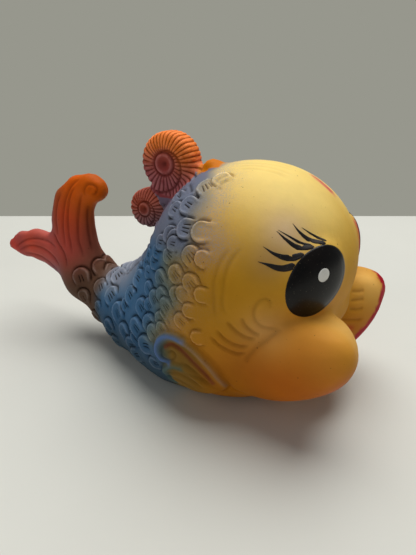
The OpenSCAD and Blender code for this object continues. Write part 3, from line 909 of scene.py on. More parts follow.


# Soft sprayed spots below and above the blue: middle, radius, colour and strength. Below the blue, the two
# pale spots on top of the head are painted highlight, and the dark spots on the flank, low on the lobes and
# on the jaw are airbrush colour darkened with painted shade.
UNDER_PAINT_AND_LIGHT = [
    ((10, 0, 92), 34, (250, 220, 130), 0.95), ((30, 10, 80), 20, (250, 222, 138), 0.75),
    ((2, 37, 50), 13, (182, 128, 16), 0.7), ((20, 34, 30), 14, (190, 128, 60), 0.5),
    ((42, 30, 40), 13, (214, 140, 58), 0.8), ((34, 36, 26), 15, (184, 92, 12), 0.75),
    ((50, 27, 22), 11, (180, 92, 50), 0.75), ((26, 34, 18), 14, (180, 94, 14), 0.75),
    ((25, 33, 44), 9, (220, 168, 104), 0.75), ((10, 34, 14), 16, (164, 98, 8), 0.75),
    ((48, 20, 44), 11, (240, 192, 110), 0.8), ((44, 8, 50), 9, (222, 164, 70), 0.6),
]
OVER_SPRAYS = [
    ((-34, 6, 62), 10, (112, 80, 84), 0.8), ((-26, 8, 74), 9, (118, 92, 112), 0.8),
    ((-84, 5, 48), 12, (176, 72, 62), 0.95), ((-84, 4, 60), 11, (200, 70, 36), 0.95),
    ((-78, 3, 74), 12, (222, 92, 8), 1.0), ((-67, 3, 73), 9, (214, 94, 2), 1.0),
    ((-97, 5, 41), 13, (186, 76, 66), 0.95), ((-112, 3, 41), 13, (210, 80, 58), 1.0),
    ((-127, 2, 38), 9, (200, 62, 48), 1.0),
]
# How far forward the blue reaches on the flank: heights, and the x at each.
TIDE = ((8, 19, 30, 38, 45, 48, 59, 69, 78, 85, 92), (-12, -12, -9, -6, -4, -2, -1, 0, -1, -3, -10))


class Sprayer:
    """Lays soft coats of paint, painted highlight and painted shade over points, in screen colours."""

    def __init__(self, form: FishForm, points: Points, normals: Points, left: Points) -> None:
        """Starts with bare yellow vinyl on points folded onto the left side."""
        self.form, self.p, self.n, self.left = form, points, normals, left
        self.rgb = np.tile(np.array([194.0, 132.0, 14.0]), (len(points), 1))
        self.mist, self.soil = np.zeros(len(points)), np.ones(len(points))

    def coat(self, rgb: tuple[float, float, float], amount: Points) -> None:
        """Lays one coat on."""
        self.rgb += (np.array(rgb, float) - self.rgb) * np.clip(amount, 0, 1)[:, None]

    def near(self, middle: tuple[float, float, float], radius: float) -> Points:
        """A soft spot round a place."""
        return bell(np.linalg.norm(self.p - np.array(middle), axis=1), radius)

    def along(self, crop: Crop | None, places: Places, width: float) -> Points:
        """A soft stroke along a line.

        Args:
            crop: the part of the photograph, or None for millimetres.
            places: the line's places.
            width: its half width.

        Returns:
            How strong the stroke is at each point.
        """
        best = np.full(len(self.p), 1e9)
        for place in self.form.track(crop, places, 0.8):
            best = np.minimum(best, ((self.p - place) ** 2).sum(1))
        return bell(np.sqrt(best), width)

    def body(self) -> None:
        """Sprays the blue body, with olive where it thins out over the yellow, painted shade low down and
        painted light on the upward-facing back.
        """
        x, y, z = self.p.T
        wave = 1.4 * np.sin(0.33 * x + 0.9) * np.sin(0.29 * z + 0.4) + 0.9 * np.sin(0.21 * z - 0.5 * y)
        ahead = x - np.interp(z, *TIDE) + wave
        high = smooth(60, 68, z)
        low = smooth(34, 24, z)
        spread = smooth(-2, -17, ahead) * (1 - low) + smooth(3, -4, ahead) * low
        blue = spread * (1 - high) + smooth(5, -5, ahead) * high
        # The blue darkens towards the bottom: painted shade. The lilac higher up is paint.
        under = rgb_mix((33, 66, 98), (56, 100, 142), smooth(12, 34, z))
        under = under + (np.array([108, 112, 132]) - under) * (high * 0.9)[:, None]
        # Surfaces of the back that face upwards are lightened: painted light from above.
        back = smooth(0.3, 0.75, self.n[:, 2]) * smooth(-20, -32, x)
        under = under + (np.array([134, 142, 160]) - under) * (back * 0.95)[:, None]
        olive = bell(ahead + 9, 7.5) * (1 - high) * (1 - 0.8 * low)
        self.coat((104, 108, 78), olive * 0.75)
        self.rgb += (under - self.rgb) * (blue * 0.97)[:, None]
        # Painted shade low on the blue flank.
        self.coat((44, 66, 76), smooth(24, 6, z) * blue * 0.75)
        # How strongly grooves are darkened, by grime and painted shade: more on the blue and towards the
        # tail, fully on the curls.
        self.soil = np.clip(0.42 + 0.6 * blue + 0.6 * smooth(-56, -70, x), 0, 1)
        self.mist = np.maximum(bell(ahead - 4, 8) * (0.15 + 1.1 * high), bell(ahead + 4, 8) * 0.7)
        self.mist *= 1 - 0.7 * low
        root = smooth(-58, -78, x) * smooth(-100, -84, x)
        self.coat((92, 62, 42), smooth(-57, -67, x) * smooth(-96, -84, x) * 0.92)
        self.coat((116, 72, 54), root * smooth(30, 44, z) * 0.7)

    def crest(self) -> None:
        """Sprays the curls: orange above, purple brown where they meet the back."""
        x, y, z = self.p.T
        big = np.hypot(x - self.form.big[0], z - self.form.big[1]) < self.form.big_d / 2 + 1.5
        small = np.hypot(x - self.form.small[0], z - self.form.small[1]) < self.form.small_d / 2 + 1.2
        bud = np.hypot(x - self.form.bud[0], z - self.form.bud[1]) < self.form.bud_d / 2 + 1.3
        low = rgb_mix((146, 66, 70), (240, 122, 26), smooth(80, 97, z + 0.22 * (x + 28)))
        self.rgb = np.where((big & (y < 7.5))[:, None], low, self.rgb)
        eye = np.hypot(x - self.form.big[0], z - self.form.big[1]) / (self.form.big_d / 2)
        self.coat((148, 60, 58), smooth(0.62, 0.3, eye) * (y < 7.5) * 0.8)
        dark = rgb_mix((112, 68, 74), (166, 68, 42), smooth(61, 73, z - 0.3 * (x + 39)))
        self.rgb = np.where((small & ~big & (y < 6.5))[:, None], dark, self.rgb)
        self.coat((206, 116, 4), bud * smooth(83, 86, z) * (y < 5))
        self.soil = np.maximum(self.soil, (big | small) * 1.0)
        self.crested = (big | small | bud) * 1.0

    def run(self) -> Points:
        """Lays every coat on.

        Returns:
            The linear colour of each point.
        """
        x, y, z = self.p.T
        self.coat((206, 130, 40), smooth(50, 20, z) * smooth(-6, 12, x) * 0.7)
        # Painted sheen on the forehead.
        self.coat((240, 212, 140), self.near((20, 17, 84), 14) * 0.6)
        for middle, radius, rgb, amount in UNDER_PAINT_AND_LIGHT:
            self.coat(rgb, self.near(middle, radius) * amount)
        self.body()
        for middle, radius, rgb, amount in OVER_SPRAYS:
            self.coat(rgb, self.near(middle, radius) * amount)
        self.crest()
        leaf = smooth(-0.4, 0.4, leaf_depth(self.p))
        self.coat((122, 92, 38), leaf * smooth(13, -2, x) * 0.85)
        self.coat((58, 84, 92), leaf * smooth(-7, -12, x) * 0.75)
        self.coat((66, 96, 104), self.along(None, FIN_LOWER[3:9], 1.2) * 0.7)
        self.coat((88, 116, 168), self.along(Crop.BODY, FIN_RIM[:8], 1.3) * 0.95)
        self.mist *= (1 - leaf) * (1 - self.crested)
        self.coat((150, 128, 132), self.along(Crop.BODY, FIN_RIM[7:], 0.8) * 0.6)
        self.coat((132, 62, 40), self.along(Crop.BODY, FIN_SECOND, 0.8) * 0.8)
        self.coat((206, 66, 82), self.along(Crop.WHOLE, CROWN_MARK, 1.6) * self.left)
        self.coat((200, 62, 80), self.along(Crop.WHOLE, BROW_MARK, 1.8) * self.left)
        # Painted highlight on the brow above the eye.
        self.coat((218, 188, 160), self.near((28, 26, 75), 8) * 0.75)
        self.coat((150, 120, 108), self.near((24, 31, 66), 6) * 0.4)
        mouth = self.form.mouth.distance(self.p)
        self.coat((184, 26, 46), smooth(1.6, 0.2, mouth) * smooth(30, 27, z))
        lobe = smooth(8, 12, y) * smooth(40, 46, x) * smooth(50, 47, z)
        edge = smooth(0.1, 0.25, self.along(Crop.WHOLE, LIP_EDGE, 1.9))
        red = np.maximum(edge, self.along(Crop.WHOLE, LIP_EDGE[5:], 2.6))
        self.coat((176, 16, 40), smooth(0.25, 0.45, red) * self.left)
        near = lobe * (1 - self.left)
        self.coat((186, 104, 88), near * smooth(0.35, 0.8, self.n[:, 0]) * smooth(40, 24, z) * 0.85)
        self.coat((188, 22, 44), near * smooth(-0.30, -0.45, self.n[:, 1]) * smooth(30, 27, z))
        self.rgb = np.clip(self.rgb, 0, 255)
        return linear(self.rgb)


def rgb_mix(a: tuple[float, ...], b: tuple[float, ...], t: Points) -> Points:
    """Blends two screen colours by a share for each point."""
    return np.array(a, float) + (np.array(b, float) - np.array(a, float)) * t[:, None]


@dataclass(frozen=True)
class Wire:
    """One output of a shader node, which can be used in sums.

    Attributes:
        tree: the node tree that it belongs to.
        socket: the output itself.
    """

    tree: bpy.types.NodeTree
    socket: bpy.types.NodeSocket

    def add(self, kind: str, settings: dict, sockets: dict, out: int | str = 0) -> "Wire":
        """Adds any node.

        Args:
            kind: the node's type.
            settings: its properties, set before its sockets.
            sockets: values or wires for its inputs.
            out: which of its outputs comes back.

        Returns:
            The chosen output, or the node's first one.
        """
        node = self.tree.nodes.new(kind)
        for name, value in settings.items():
            setattr(node, name, value)
        for name, value in sockets.items():
            if isinstance(value, Wire):
                self.tree.links.new(value.socket, node.inputs[name])
            else:
                node.inputs[name].default_value = value
        return Wire(self.tree, node.outputs[out]) if len(node.outputs) else self

    def sum(self, operation: str, a: object, b: object) -> "Wire":
        """Adds one step of maths, on vectors where either side is one.

        Args:
            operation: Blender's name for the step.
            a: the first value.
            b: the second value.

        Returns:
            The result.
        """
        kinds = [v.socket.type if isinstance(v, Wire) else type(v).__name__ for v in (a, b)]
        if not {"tuple", "RGBA", "VECTOR"} & set(kinds):
            return self.add("ShaderNodeMath", {"operation": operation}, {0: a, 1: b})
        a, b = ((v,) * 3 if isinstance(v, (int, float)) else v for v in (a, b))
        return self.add("ShaderNodeVectorMath", {"operation": operation}, {0: a, 1: b})

    def __add__(self, other: object) -> "Wire":
        """Adds."""
        return self.sum("ADD", self, other)

    def __radd__(self, other: object) -> "Wire":
        """Adds, from the right."""
        return self.sum("ADD", other, self)

    def __sub__(self, other: object) -> "Wire":
        """Takes away."""
        return self.sum("SUBTRACT", self, other)

    def __rsub__(self, other: object) -> "Wire":
        """Takes away, from the right."""
        return self.sum("SUBTRACT", other, self)

    def __mul__(self, other: object) -> "Wire":
        """Multiplies."""
        return self.sum("MULTIPLY", self, other)

    def __rmul__(self, other: object) -> "Wire":
        """Multiplies, from the right."""
        return self.sum("MULTIPLY", other, self)

    def mix(self, a: object, b: object) -> "Wire":
        """Blends two colours, with this as the share of the second.

        Args:
            a: the first colour.
            b: the second colour.

        Returns:
            The blend.
        """
        sides = {}
        for place, value in ((6, a), (7, b)):
            sides[place] = (*value, 1.0) if isinstance(value, tuple) and len(value) == 3 else value
        return self.add("ShaderNodeMix", {"data_type": "RGBA"}, {0: self, **sides}, 2)

    def ramp(self, low: float, high: float) -> "Wire":
        """Stretches this so that low becomes 0 and high becomes 1, with soft ends."""
        soft = {"interpolation_type": "SMOOTHSTEP"}
        return self.add("ShaderNodeMapRange", soft, {0: self, 1: low, 2: high})

    def part(self) -> "Wire":
        """How far this is from the middle between two whole numbers."""
        left = self.add("ShaderNodeMath", {"operation": "FRACT"}, {0: self})
        return self.add("ShaderNodeMath", {"operation": "ABSOLUTE"}, {0: left - 0.5})

    def noise(self, scale: float, detail: float = 2.0, rough: float = 0.5) -> "Wire":
        """Noise at this place."""
        sockets = {"Vector": self, "Scale": scale, "Detail": detail, "Roughness": rough}
        return self.add("ShaderNodeTexNoise", {}, sockets)

    def value(self, name: str, out: str = "Fac") -> "Wire":
        """A value that the mesh carries."""
        return self.add("ShaderNodeAttribute", {"attribute_name": name}, {}, out)

    def bump(self, height: "Wire", strength: float, distance: float) -> "Wire":
        """Turns a height into a normal."""
        return self.add("ShaderNodeBump", {}, {"Height": height, "Strength": strength, "Distance": distance})


def shader(name: str) -> tuple[bpy.types.Material, bpy.types.Node, Wire]:
    """Starts a material.

    Args:
        name: the material's name.

    Returns:
        The material, its shader node, and the place on the object as a wire.
    """
    material = bpy.data.materials.new(name)
    material.use_nodes = True
    tree = material.node_tree
    skin = next(n for n in tree.nodes if n.type == "BSDF_PRINCIPLED")
    place = tree.nodes.new("ShaderNodeTexCoord")
    return material, skin, Wire(tree, place.outputs["Object"])


def dress(skin: bpy.types.Node, place: Wire, sockets: dict) -> None:
    """Gives a shader its values and wires.

    Args:
        skin: the shader.
        place: a wire of the same tree.
        sockets: a value or a wire for each input.
    """
    for name, value in sockets.items():
        if isinstance(value, Wire):
            place.tree.links.new(value.socket, skin.inputs[name])
        else:
            skin.inputs[name].default_value = value


@dataclass(frozen=True)
class PaintedVinyl:
    """Soft vinyl with sprayed paint, grooves darkened by grime and painted shade, and edges lightened by
    rubbing and painted highlight.
    """

    name: str = "painted_vinyl"
    roughness: float = 0.56
    coat: float = 0.0
    grain: float = 0.00012

    def make(self) -> bpy.types.Material:
        """Builds the material.

        Returns:
            The material.
        """
        material, skin, p = shader(self.name)
        paint, dirt, rim = p.value("paint", "Color"), p.value("dirt"), p.value("rim")
        blotch, fine, patch = p.noise(55, 3), p.noise(1500, 3, 0.6), p.noise(210, 4, 0.6)
        colour = paint * (0.84 + 0.2 * blotch + 0.14 * patch)
        mist = p.value("mist") * (0.35 + p.noise(2300, 2, 0.7).ramp(0.42, 0.72))
        colour = (mist * 0.5).mix(colour, ink((140, 150, 168)))
        # Edges are lightened, partly rubbed paint and partly painted highlight.
        rubbed_and_sheen = rim * p.noise(300, 4, 0.6).ramp(0.26, 0.56)
        colour = (rubbed_and_sheen * 0.8).mix(colour, colour * 1.35 + ink((88, 88, 88)))
        # Grooves and the slits of the scales and ribs are darkened, partly grime and partly painted shade.
        cut = p.value("combed") * p.value("comb").part().ramp(0.19, 0.09)
        dusk = (dirt + 0.95 * cut) * (0.55 + 0.75 * p.noise(480, 4, 0.6))
        colour = dusk.add("ShaderNodeClamp", {}, {0: dusk}).mix(colour, colour * (0.22, 0.17, 0.12))
        speck = p.noise(980, 1, 0.4).ramp(0.775, 0.80)
        colour = (speck * 0.7).mix(colour, colour * (0.35, 0.3, 0.28))
        grime = p.noise(34, 5, 0.65).ramp(0.5, 0.78)
        colour = (grime * 0.22).mix(colour, colour * (0.80, 0.72, 0.62))
        rough = self.roughness - 0.06 + 0.14 * patch + 0.16 * dirt - 0.05 * rim + 0.06 * grime
        height = 0.6 * fine + 1.0 * p.noise(420, 3) + 1.4 * p.noise(130, 2) - 2.6 * cut
        dress(skin, p, {"Base Color": colour, "Roughness": rough, "Coat Weight": self.coat,
                        "Coat Roughness": 0.3, "Normal": p.bump(height, 0.55, self.grain),
                        "Specular IOR Level": 0.09, "Subsurface Weight": 0.06,
                        "Subsurface Radius": (0.004, 0.002, 0.001), "Subsurface Scale": 0.4})
        return material


@dataclass(frozen=True)
class Enamel:
    """Brushed enamel, with a faint drag of the brush, dust and pin holes."""

    name: str
    colour: tuple[float, float, float]
    faded: tuple[float, float, float]
    roughness: float = 0.16
    coat: float = 0.35
    shine: float = 0.5

    def make(self) -> bpy.types.Material:
        """Builds the material.

        Returns:
            The material.
        """
        material, skin, p = shader(self.name)
        cloud, drag = p.noise(160, 4, 0.6), (p * (1.0, 1.0, 0.25)).noise(1200, 3, 0.6)
        colour = (cloud.ramp(0.35, 0.75) * 0.7).mix(ink(self.colour), ink(self.faded))
        dust = p.noise(2400, 1, 0.3).ramp(0.70, 0.78)
        colour = (dust * 0.18).mix(colour, ink((150, 140, 120)))
        dress(skin, p, {"Base Color": colour, "Roughness": self.roughness + 0.10 * cloud + 0.2 * dust,
                        "Coat Weight": self.coat, "Coat Roughness": 0.12, "Specular IOR Level": self.shine,
                        "Normal": p.bump(drag + 0.8 * cloud, 0.3, 0.00005)})
        return material


@dataclass(frozen=True)
class HardPlastic:
    """Moulded hard plastic with yellowing, scuffs and faint flow marks."""

    name: str
    colour: tuple[float, float, float]
    aged: tuple[float, float, float]
    roughness: float = 0.34

    def make(self) -> bpy.types.Material:
        """Builds the material.

        Returns:
            The material.
        """
        material, skin, p = shader(self.name)
        cloud = p.noise(180, 4, 0.6)
        colour = cloud.ramp(0.3, 0.75).mix(ink(self.colour), ink(self.aged))
        scuff = (p * (1.0, 0.12, 1.0)).noise(1900, 2, 0.5).ramp(0.62, 0.74)
        colour = (scuff * 0.3).mix(colour, colour * 0.6)
        dress(skin, p, {"Base Color": colour, "Roughness": self.roughness + 0.12 * cloud + 0.18 * scuff,
                        "Normal": p.bump(0.7 * p.noise(700, 3) - 0.5 * scuff, 0.4, 0.00008)})
        return material


@dataclass(frozen=True)
class ThinBrass:
    """Rolled brass strip with tarnish."""

    name: str = "reed_brass"

    def make(self) -> bpy.types.Material:
        """Builds the material.

        Returns:
            The material.
        """
        material, skin, p = shader(self.name)
        tarnish = p.noise(520, 5, 0.65).ramp(0.42, 0.72)
        lines = (p * (1.0, 0.05, 1.0)).noise(6000, 2, 0.5)
        colour = tarnish.mix(ink((214, 176, 92)), ink((124, 84, 44)))
        rough = 0.24 + 0.3 * tarnish + 0.1 * lines
        dress(skin, p, {"Base Color": colour, "Metallic": 0.95, "Roughness": rough,
                        "Normal": p.bump(lines, 0.3, 0.00002)})
        return material


@dataclass(frozen=True)
class StudioFloor:
    """Pale card with faint mottling."""

    name: str = "studio_floor"
    colour: tuple[float, float, float] = (216, 217, 210)

    def make(self) -> bpy.types.Material:
        """Builds the material.

        Returns:
            The material.
        """
        material, skin, p = shader(self.name)
        cloud = p.noise(9, 4, 0.5)
        base = ink(self.colour)
        dress(skin, p, {"Base Color": cloud.ramp(0.2, 0.8).mix(base, tuple(0.95 * c for c in base)),
                        "Roughness": 0.62 + 0.1 * cloud, "Normal": p.bump(p.noise(900, 3), 0.2, 0.0001)})
        return material


def show(mesh: bpy.types.Mesh, name: str, material: bpy.types.Material) -> bpy.types.Object:
    """Puts a mesh in the scene as a named object with one material.

    Args:
        mesh: the mesh.
        name: the object's name.
        material: its finish.

    Returns:
        The object.
    """
    mesh.materials.clear()
    mesh.materials.append(material)
    thing = bpy.data.objects.new(name, mesh)
    bpy.context.scene.collection.objects.link(thing)
    mesh.polygons.foreach_set("use_smooth", [True] * len(mesh.polygons))
    return thing


def soften(thing: bpy.types.Object) -> None:
    """Ties a piece to the shell, and gives it a mesh of its own.

    Args:
        thing: the piece.
    """
    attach(thing, "shell")
    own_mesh(thing)


def report(thing: bpy.types.Object) -> None:
    """Logs one piece and its size."""
    LOG.info("%s: %d faces, %d points", thing.name, len(thing.data.polygons), len(thing.data.vertices))


@dataclass
class Moulding:
    """The blow-moulded fish: outer skin with its relief, hollow inside and hole for the whistle."""

    form: FishForm
    step: float = 1.97
    cavity_step: float = 3.0
    cavity_reach: tuple[float, float] = (-90.0, 57.0)
    cavity_half_width: float = 40.0
    cavity_top: float = 95.0
    reach: tuple[float, float] = (-132.0, 57.0)
    half_width: float = 41.0
    top: float = 102.0
    hole_d: float = 13.5
    hole_top: float = 8.0
    seat_d: float = 18.5
    seat_z: float = 2.05
    inside_rgb: tuple[float, float, float] = (206, 150, 70)
    skin_reach: float = 1.2
    crease_angle: float = 50.0

    def skin(self) -> tuple[Net, Relief]:
        """Nets the outer skin, with smaller faces where there is relief, and works the relief.

        Returns:
            The net and the relief on it.
        """
        rows = math.ceil(self.half_width / self.step) + 0.5
        low = np.array([self.reach[0] + 0.15 * self.step, -rows * self.step, -1.5 * self.step + 0.3])
        high = np.array([self.reach[1], rows * self.step, self.top])
        points, quads = netted(self.form.outside, low, high, self.step)
        points = settled(self.form.outside, points, 2)
        middles: Middles = {}
        relief = self.worked(points)
        points, quads, new = split(points, quads, relief.near[quads].any(1), middles)
        points = settled(self.form.outside, points, 2)
        relief = self.worked(points)
        points, quads, _ = split(points, quads, relief.sharp[quads].any(1) & new, middles)
        points = settled(self.form.outside, points, 2)
        relief = self.worked(points)
        normals, faces = relief.normals, stitched(quads, middles)
        under = (points[:, 2] < 1.5) & (normals[:, 2] < 0)
        height = np.where(under, np.minimum(relief.height, 0), relief.height)
        raised = points + normals * height[:, None]
        raised[:, 2] = np.maximum(raised[:, 2], 0)
        return Net(raised, faces), relief

    def worked(self, points: Points) -> Relief:
        """The whole relief on some points of the outer skin.

        Args:
            points: the points.

        Returns:
            The relief.
        """
        relief = Relief(self.form, points, unit(slopes(self.form.outside, points)))
        relief.work()
        return relief

    def cavity(self) -> Net:
        """Nets the hollow inside.

        Returns:
            Its net.
        """
        step = self.cavity_step
        rows = math.ceil(self.cavity_half_width / step) + 0.5
        low = np.array([self.cavity_reach[0], -rows * step, 0.3])
        high = np.array([self.cavity_reach[1], rows * step, self.cavity_top])
        points, quads = netted(self.form.hollow, low, high, step)
        return Net(settled(self.form.hollow, points, 2), quads.tolist())

    def cut(self, thing: bpy.types.Object, nets: list[bpy.types.Mesh]) -> bpy.types.Mesh:
        """Cuts solids from a piece.

        Args:
            thing: the piece.
            nets: the solids to cut.

        Returns:
            The mesh that is left.
        """
        tools = []
        for mesh in nets:
            tool = bpy.data.objects.new("cutter", mesh)
            bpy.context.scene.collection.objects.link(tool)
            change = thing.modifiers.new("cut", "BOOLEAN")
            change.operation, change.solver, change.object = "DIFFERENCE", "MANIFOLD", tool
            tools.append(tool)
        seen = thing.evaluated_get(bpy.context.evaluated_depsgraph_get())
        made = bpy.data.meshes.new_from_object(seen)
        for tool in tools:
            bpy.data.objects.remove(tool)
        return made

    def drill(self, d: float, low: float, high: float) -> bpy.types.Mesh:
        """A round cutter that stands at the whistle.

        Args:
            d: its diameter.
            low: its lower end.
            high: its upper end.

        Returns:
            Its mesh.
        """
        count = 72
        ring = [(self.form.whistle_x + d / 2 * math.cos(t), d / 2 * math.sin(t))
                for t in (2 * math.pi * k / count for k in range(count))]
        points = np.array([(x, y, low) for x, y in ring] + [(x, y, high) for x, y in ring])
        sides = [[k, (k + 1) % count, (k + 1) % count + count, k + count] for k in range(count)]
        caps = [list(range(count))[::-1], list(range(count, 2 * count))]
        return Net(points, sides + caps).mesh("drill")

    def build(self, material: bpy.types.Material) -> bpy.types.Object:
        """Builds the moulding and paints it.

        Args:
            material: the finish of the vinyl.

        Returns:
            The piece.
        """
        net, relief = self.skin()
        LOG.info("outer skin: %d points, %d faces", len(net.points), len(net.faces))
        blank = bpy.data.objects.new("blank", net.mesh("blank"))
        bpy.context.scene.collection.objects.link(blank)
        seat = self.drill(self.seat_d, -1, self.seat_z)
        hole = self.drill(self.hole_d, -1, self.hole_top)
        mesh = self.cut(blank, [self.cavity().mesh("cavity"), hole, seat])
        bpy.data.objects.remove(blank)
        sprayer = Sprayer(self.form, relief.p, relief.n, (net.points[:, 1] > 0).astype(float))
        paint = sprayer.run()
        # Groove darkening is grime and painted shade; edge lightening is rubbing and painted highlight.
        values = {"dirt": relief.dirt * sprayer.soil, "rim": relief.rim, "mist": sprayer.mist,
                  "comb": relief.comb, "combed": relief.combed * sprayer.soil}
        self.carry(mesh, net.points, paint, values)
        thing = show(mesh, "fish_moulding", material)
        self.crease(mesh)
        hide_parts("vinyl_shell")
        soften(thing)
        return thing

    def carry(self, mesh: bpy.types.Mesh, points: Points, paint: Points, values: dict[str, Points]) -> None:
        """Moves the paint and other values from the skin's points to the cut mesh.

        Args:
            mesh: the cut mesh.
            points: the skin's points.
            paint: their colours.
            values: their other values by name.
        """
        tree = KDTree(len(points))
        for k, place in enumerate(points):
            tree.insert(place, k)
        tree.balance()
        spots = np.zeros(len(mesh.vertices) * 3)
        mesh.vertices.foreach_get("co", spots)
        found = [tree.find(q)[1:] for q in spots.reshape(-1, 3) / MM]
        index, away = np.array([f[0] for f in found]), np.array([f[1] for f in found])
        outer = away < self.skin_reach
        colour = np.where(outer[:, None], paint[index], linear(self.inside_rgb))
        layer = mesh.attributes.new("paint", "FLOAT_COLOR", "POINT")
        layer.data.foreach_set("color", np.hstack([colour, np.ones((len(index), 1))]).ravel())
        for name, value in values.items():
            layer = mesh.attributes.new(name, "FLOAT", "POINT")
            layer.data.foreach_set("value", np.where(outer, value[index], 0))

    def crease(self, mesh: bpy.types.Mesh) -> None:
        """Keeps the edges round the whistle's hole sharp.

        Args:
            mesh: the cut mesh.
        """
        mesh.set_sharp_from_angle(angle=math.radians(self.crease_angle))
        spots = np.zeros(len(mesh.vertices) * 3)
        mesh.vertices.foreach_get("co", spots)
        spots = spots.reshape(-1, 3) / MM
        away = np.hypot(spots[:, 0] - self.form.whistle_x, spots[:, 1])
        by = (away < self.seat_d / 2 + 0.5) & (spots[:, 2] < 6)
        ends = np.zeros(len(mesh.edges) * 2, int)
        mesh.edges.foreach_get("vertices", ends)
        keep = by[ends.reshape(-1, 2)].all(1)
        layer = mesh.attributes.get("sharp_edge")
        if layer is not None:
            sharp = np.zeros(len(mesh.edges), bool)
            layer.data.foreach_get("value", sharp)
            layer.data.foreach_set("value", sharp & keep)


@dataclass
class PaintedEye:
    """One painted eye: the black lens, its white glint and the lashes beside it."""

    form: FishForm
    side: Side
    middle: tuple[float, float, float] = (36.21, 21.27, 58.78)
    long_way: tuple[float, float, float] = (0.343, -0.589, 0.732)
    wide_way: tuple[float, float, float] = (0.487, -0.555, -0.675)
    out_way: tuple[float, float, float] = (0.804, 0.587, 0.097)
    long_r: float = 12.26
    wide_r: float = 10.44
    glint: tuple[float, float, float] = (37.86, 21.47, 61.53)
    glint_r: float = 2.2
    proud: float = 0.15
    lashes: tuple[tuple[Places, float], ...] = (
        (((587, 562), (630, 615), (690, 660), (785, 680)), 1.02),
        (((640, 585), (700, 625), (750, 650), (790, 665)), 0.6),
        (((490, 607), (550, 660), (620, 705), (715, 700)), 1.05),
        (((500, 600), (560, 635), (630, 675), (700, 690)), 0.55),
        (((410, 700), (480, 745), (560, 765), (655, 745)), 1.05),
        (((470, 750), (530, 775), (590, 778), (640, 760)), 0.55),
        (((378, 790), (450, 812), (520, 828), (600, 808)), 1.05),
        (((430, 815), (490, 838), (540, 842), (590, 830)), 0.55),
    )

    def cast(self, flat: Points) -> Points:
        """Drops points from a flat outline straight onto the dome.

        Args:
            flat: the points.

        Returns:
            The points on the dome.
        """
        way, p = np.array(self.out_way), flat + np.array(self.out_way) * 2
        for _ in range(14):
            d = self.form.outside(p)
            fall = np.clip(slopes(self.form.outside, p) @ way, 0.35, 1.2)
            p = p - way * (d / fall)[:, None]
        return p

    def mirrored(self, points: Points, faces: list[list[int]]) -> Net:
        """Puts left-side points onto this side, with the faces still outwards.

        Args:
            points: the points.
            faces: their faces.

        Returns:
            The net.
        """
        if self.side is Side.LEFT:
            return Net(points, faces)
        return Net(points * [1, -1, 1], [f[::-1] for f in faces])

    def disc(self, middle: Points, long_r: float, wide_r: float, proud: float, groove: float) -> Net:
        """A rounded patch of enamel with a sunk edge.

        Args:
            middle: its middle.
            long_r: its long half width.
            wide_r: its short half width.
            proud: how far it stands above the skin.
            groove: the depth of the ring inside its edge.

        Returns:
            Its net.
        """
        spokes, rings = 64, 18
        reach = np.concatenate([np.linspace(0, 1, rings) ** 0.8, [1.015]])[1:]
        turn = 2 * math.pi * np.arange(spokes) / spokes
        place = (np.cos(turn)[None, :, None] * np.array(self.long_way) * long_r
                 + np.sin(turn)[None, :, None] * np.array(self.wide_way) * wide_r) * reach[:, None, None]
        flat = np.vstack([middle, (middle + place).reshape(-1, 3)])
        share = np.concatenate([[0.0], np.repeat(reach, spokes)])
        p = self.cast(flat)
        n = unit(slopes(self.form.outside, p))
        lift = proud * (1 - 0.5 * share**6) - groove * bell(share - 0.9, 0.035) - 0.4 * (share > 1.001)
        p = p + n * lift[:, None]
        faces = [[0, 1 + (k + 1) % spokes, 1 + k] for k in range(spokes)]
        for ring in range(len(reach) - 1):
            a, b = 1 + ring * spokes, 1 + (ring + 1) * spokes
            faces += [[a + k, a + (k + 1) % spokes, b + (k + 1) % spokes, b + k] for k in range(spokes)]
        out = np.cross(np.array(self.long_way), np.array(self.wide_way)) @ np.array(self.out_way)
        return self.mirrored(p, [f[::-1] for f in faces] if out > 0 else faces)

    def stroke(self, places: Places, half: float) -> tuple[Points, list[list[int]]]:
        """One brushed lash, thin at its far end and rounded at the eye.

        Args:
            places: the places that it goes through, in the photograph's head.
            half: half its greatest width.

        Returns:
            Its points and faces on the left side.
        """
        track = self.form.onto(curve_through(self.form.seen(Crop.HEAD, places), 0.4), 4)
        share = np.linspace(0, 1, len(track))
        thin, end = np.clip(share * 1.7, 0.04, 1) ** 0.8, np.sqrt(np.clip((1 - share) * 14, 0.02, 1))
        wide = half * thin * end
        way, n = unit(np.gradient(track, axis=0)), unit(slopes(self.form.outside, track))
        side = unit(np.cross(n, way))
        across = np.array([-1.0, -0.72, -0.3, 0.3, 0.72, 1.0])
        lift = np.array([-0.14, 0.05, 0.1, 0.1, 0.05, -0.14])
        p = (track[:, None] + side[:, None] * (across[None, :, None] * wide[:, None, None])).reshape(-1, 3)
        p = settled(self.form.outside, p, 2)
        p = p + unit(slopes(self.form.outside, p)) * np.tile(lift, len(track))[:, None]
        row = len(across)
        starts = [k * row + j for k in range(len(track) - 1) for j in range(row - 1)]
        return p, [[a, a + row, a + row + 1, a + 1] for a in starts]

    def build(self, black: bpy.types.Material, white: bpy.types.Material,
              lash: bpy.types.Material) -> list[bpy.types.Object]:
        """Builds the eye's pieces.

        Args:
            black: the finish of the lens.
            white: the finish of the glint.
            lash: the finish of the lashes.

        Returns:
            The pieces.
        """
        tag = self.side.name.lower()
        lens = self.disc(np.array(self.middle), self.long_r, self.wide_r, self.proud, 0.06)
        glint = self.disc(np.array(self.glint), self.glint_r, self.glint_r * 0.93, 2.2 * self.proud, 0.0)
        points, faces = np.zeros((0, 3)), []
        for places, half in self.lashes:
            p, f = self.stroke(places, half)
            faces += [[k + len(points) for k in face] for face in f]
            points = np.vstack([points, p])
        made = [show(lens.mesh("lens"), f"eye_{tag}", black),
                show(glint.mesh("glint"), f"eye_glint_{tag}", white),
                show(self.mirrored(points, faces).mesh("lashes"), f"lashes_{tag}", lash)]
        for thing in made:
            soften(thing)
        return made


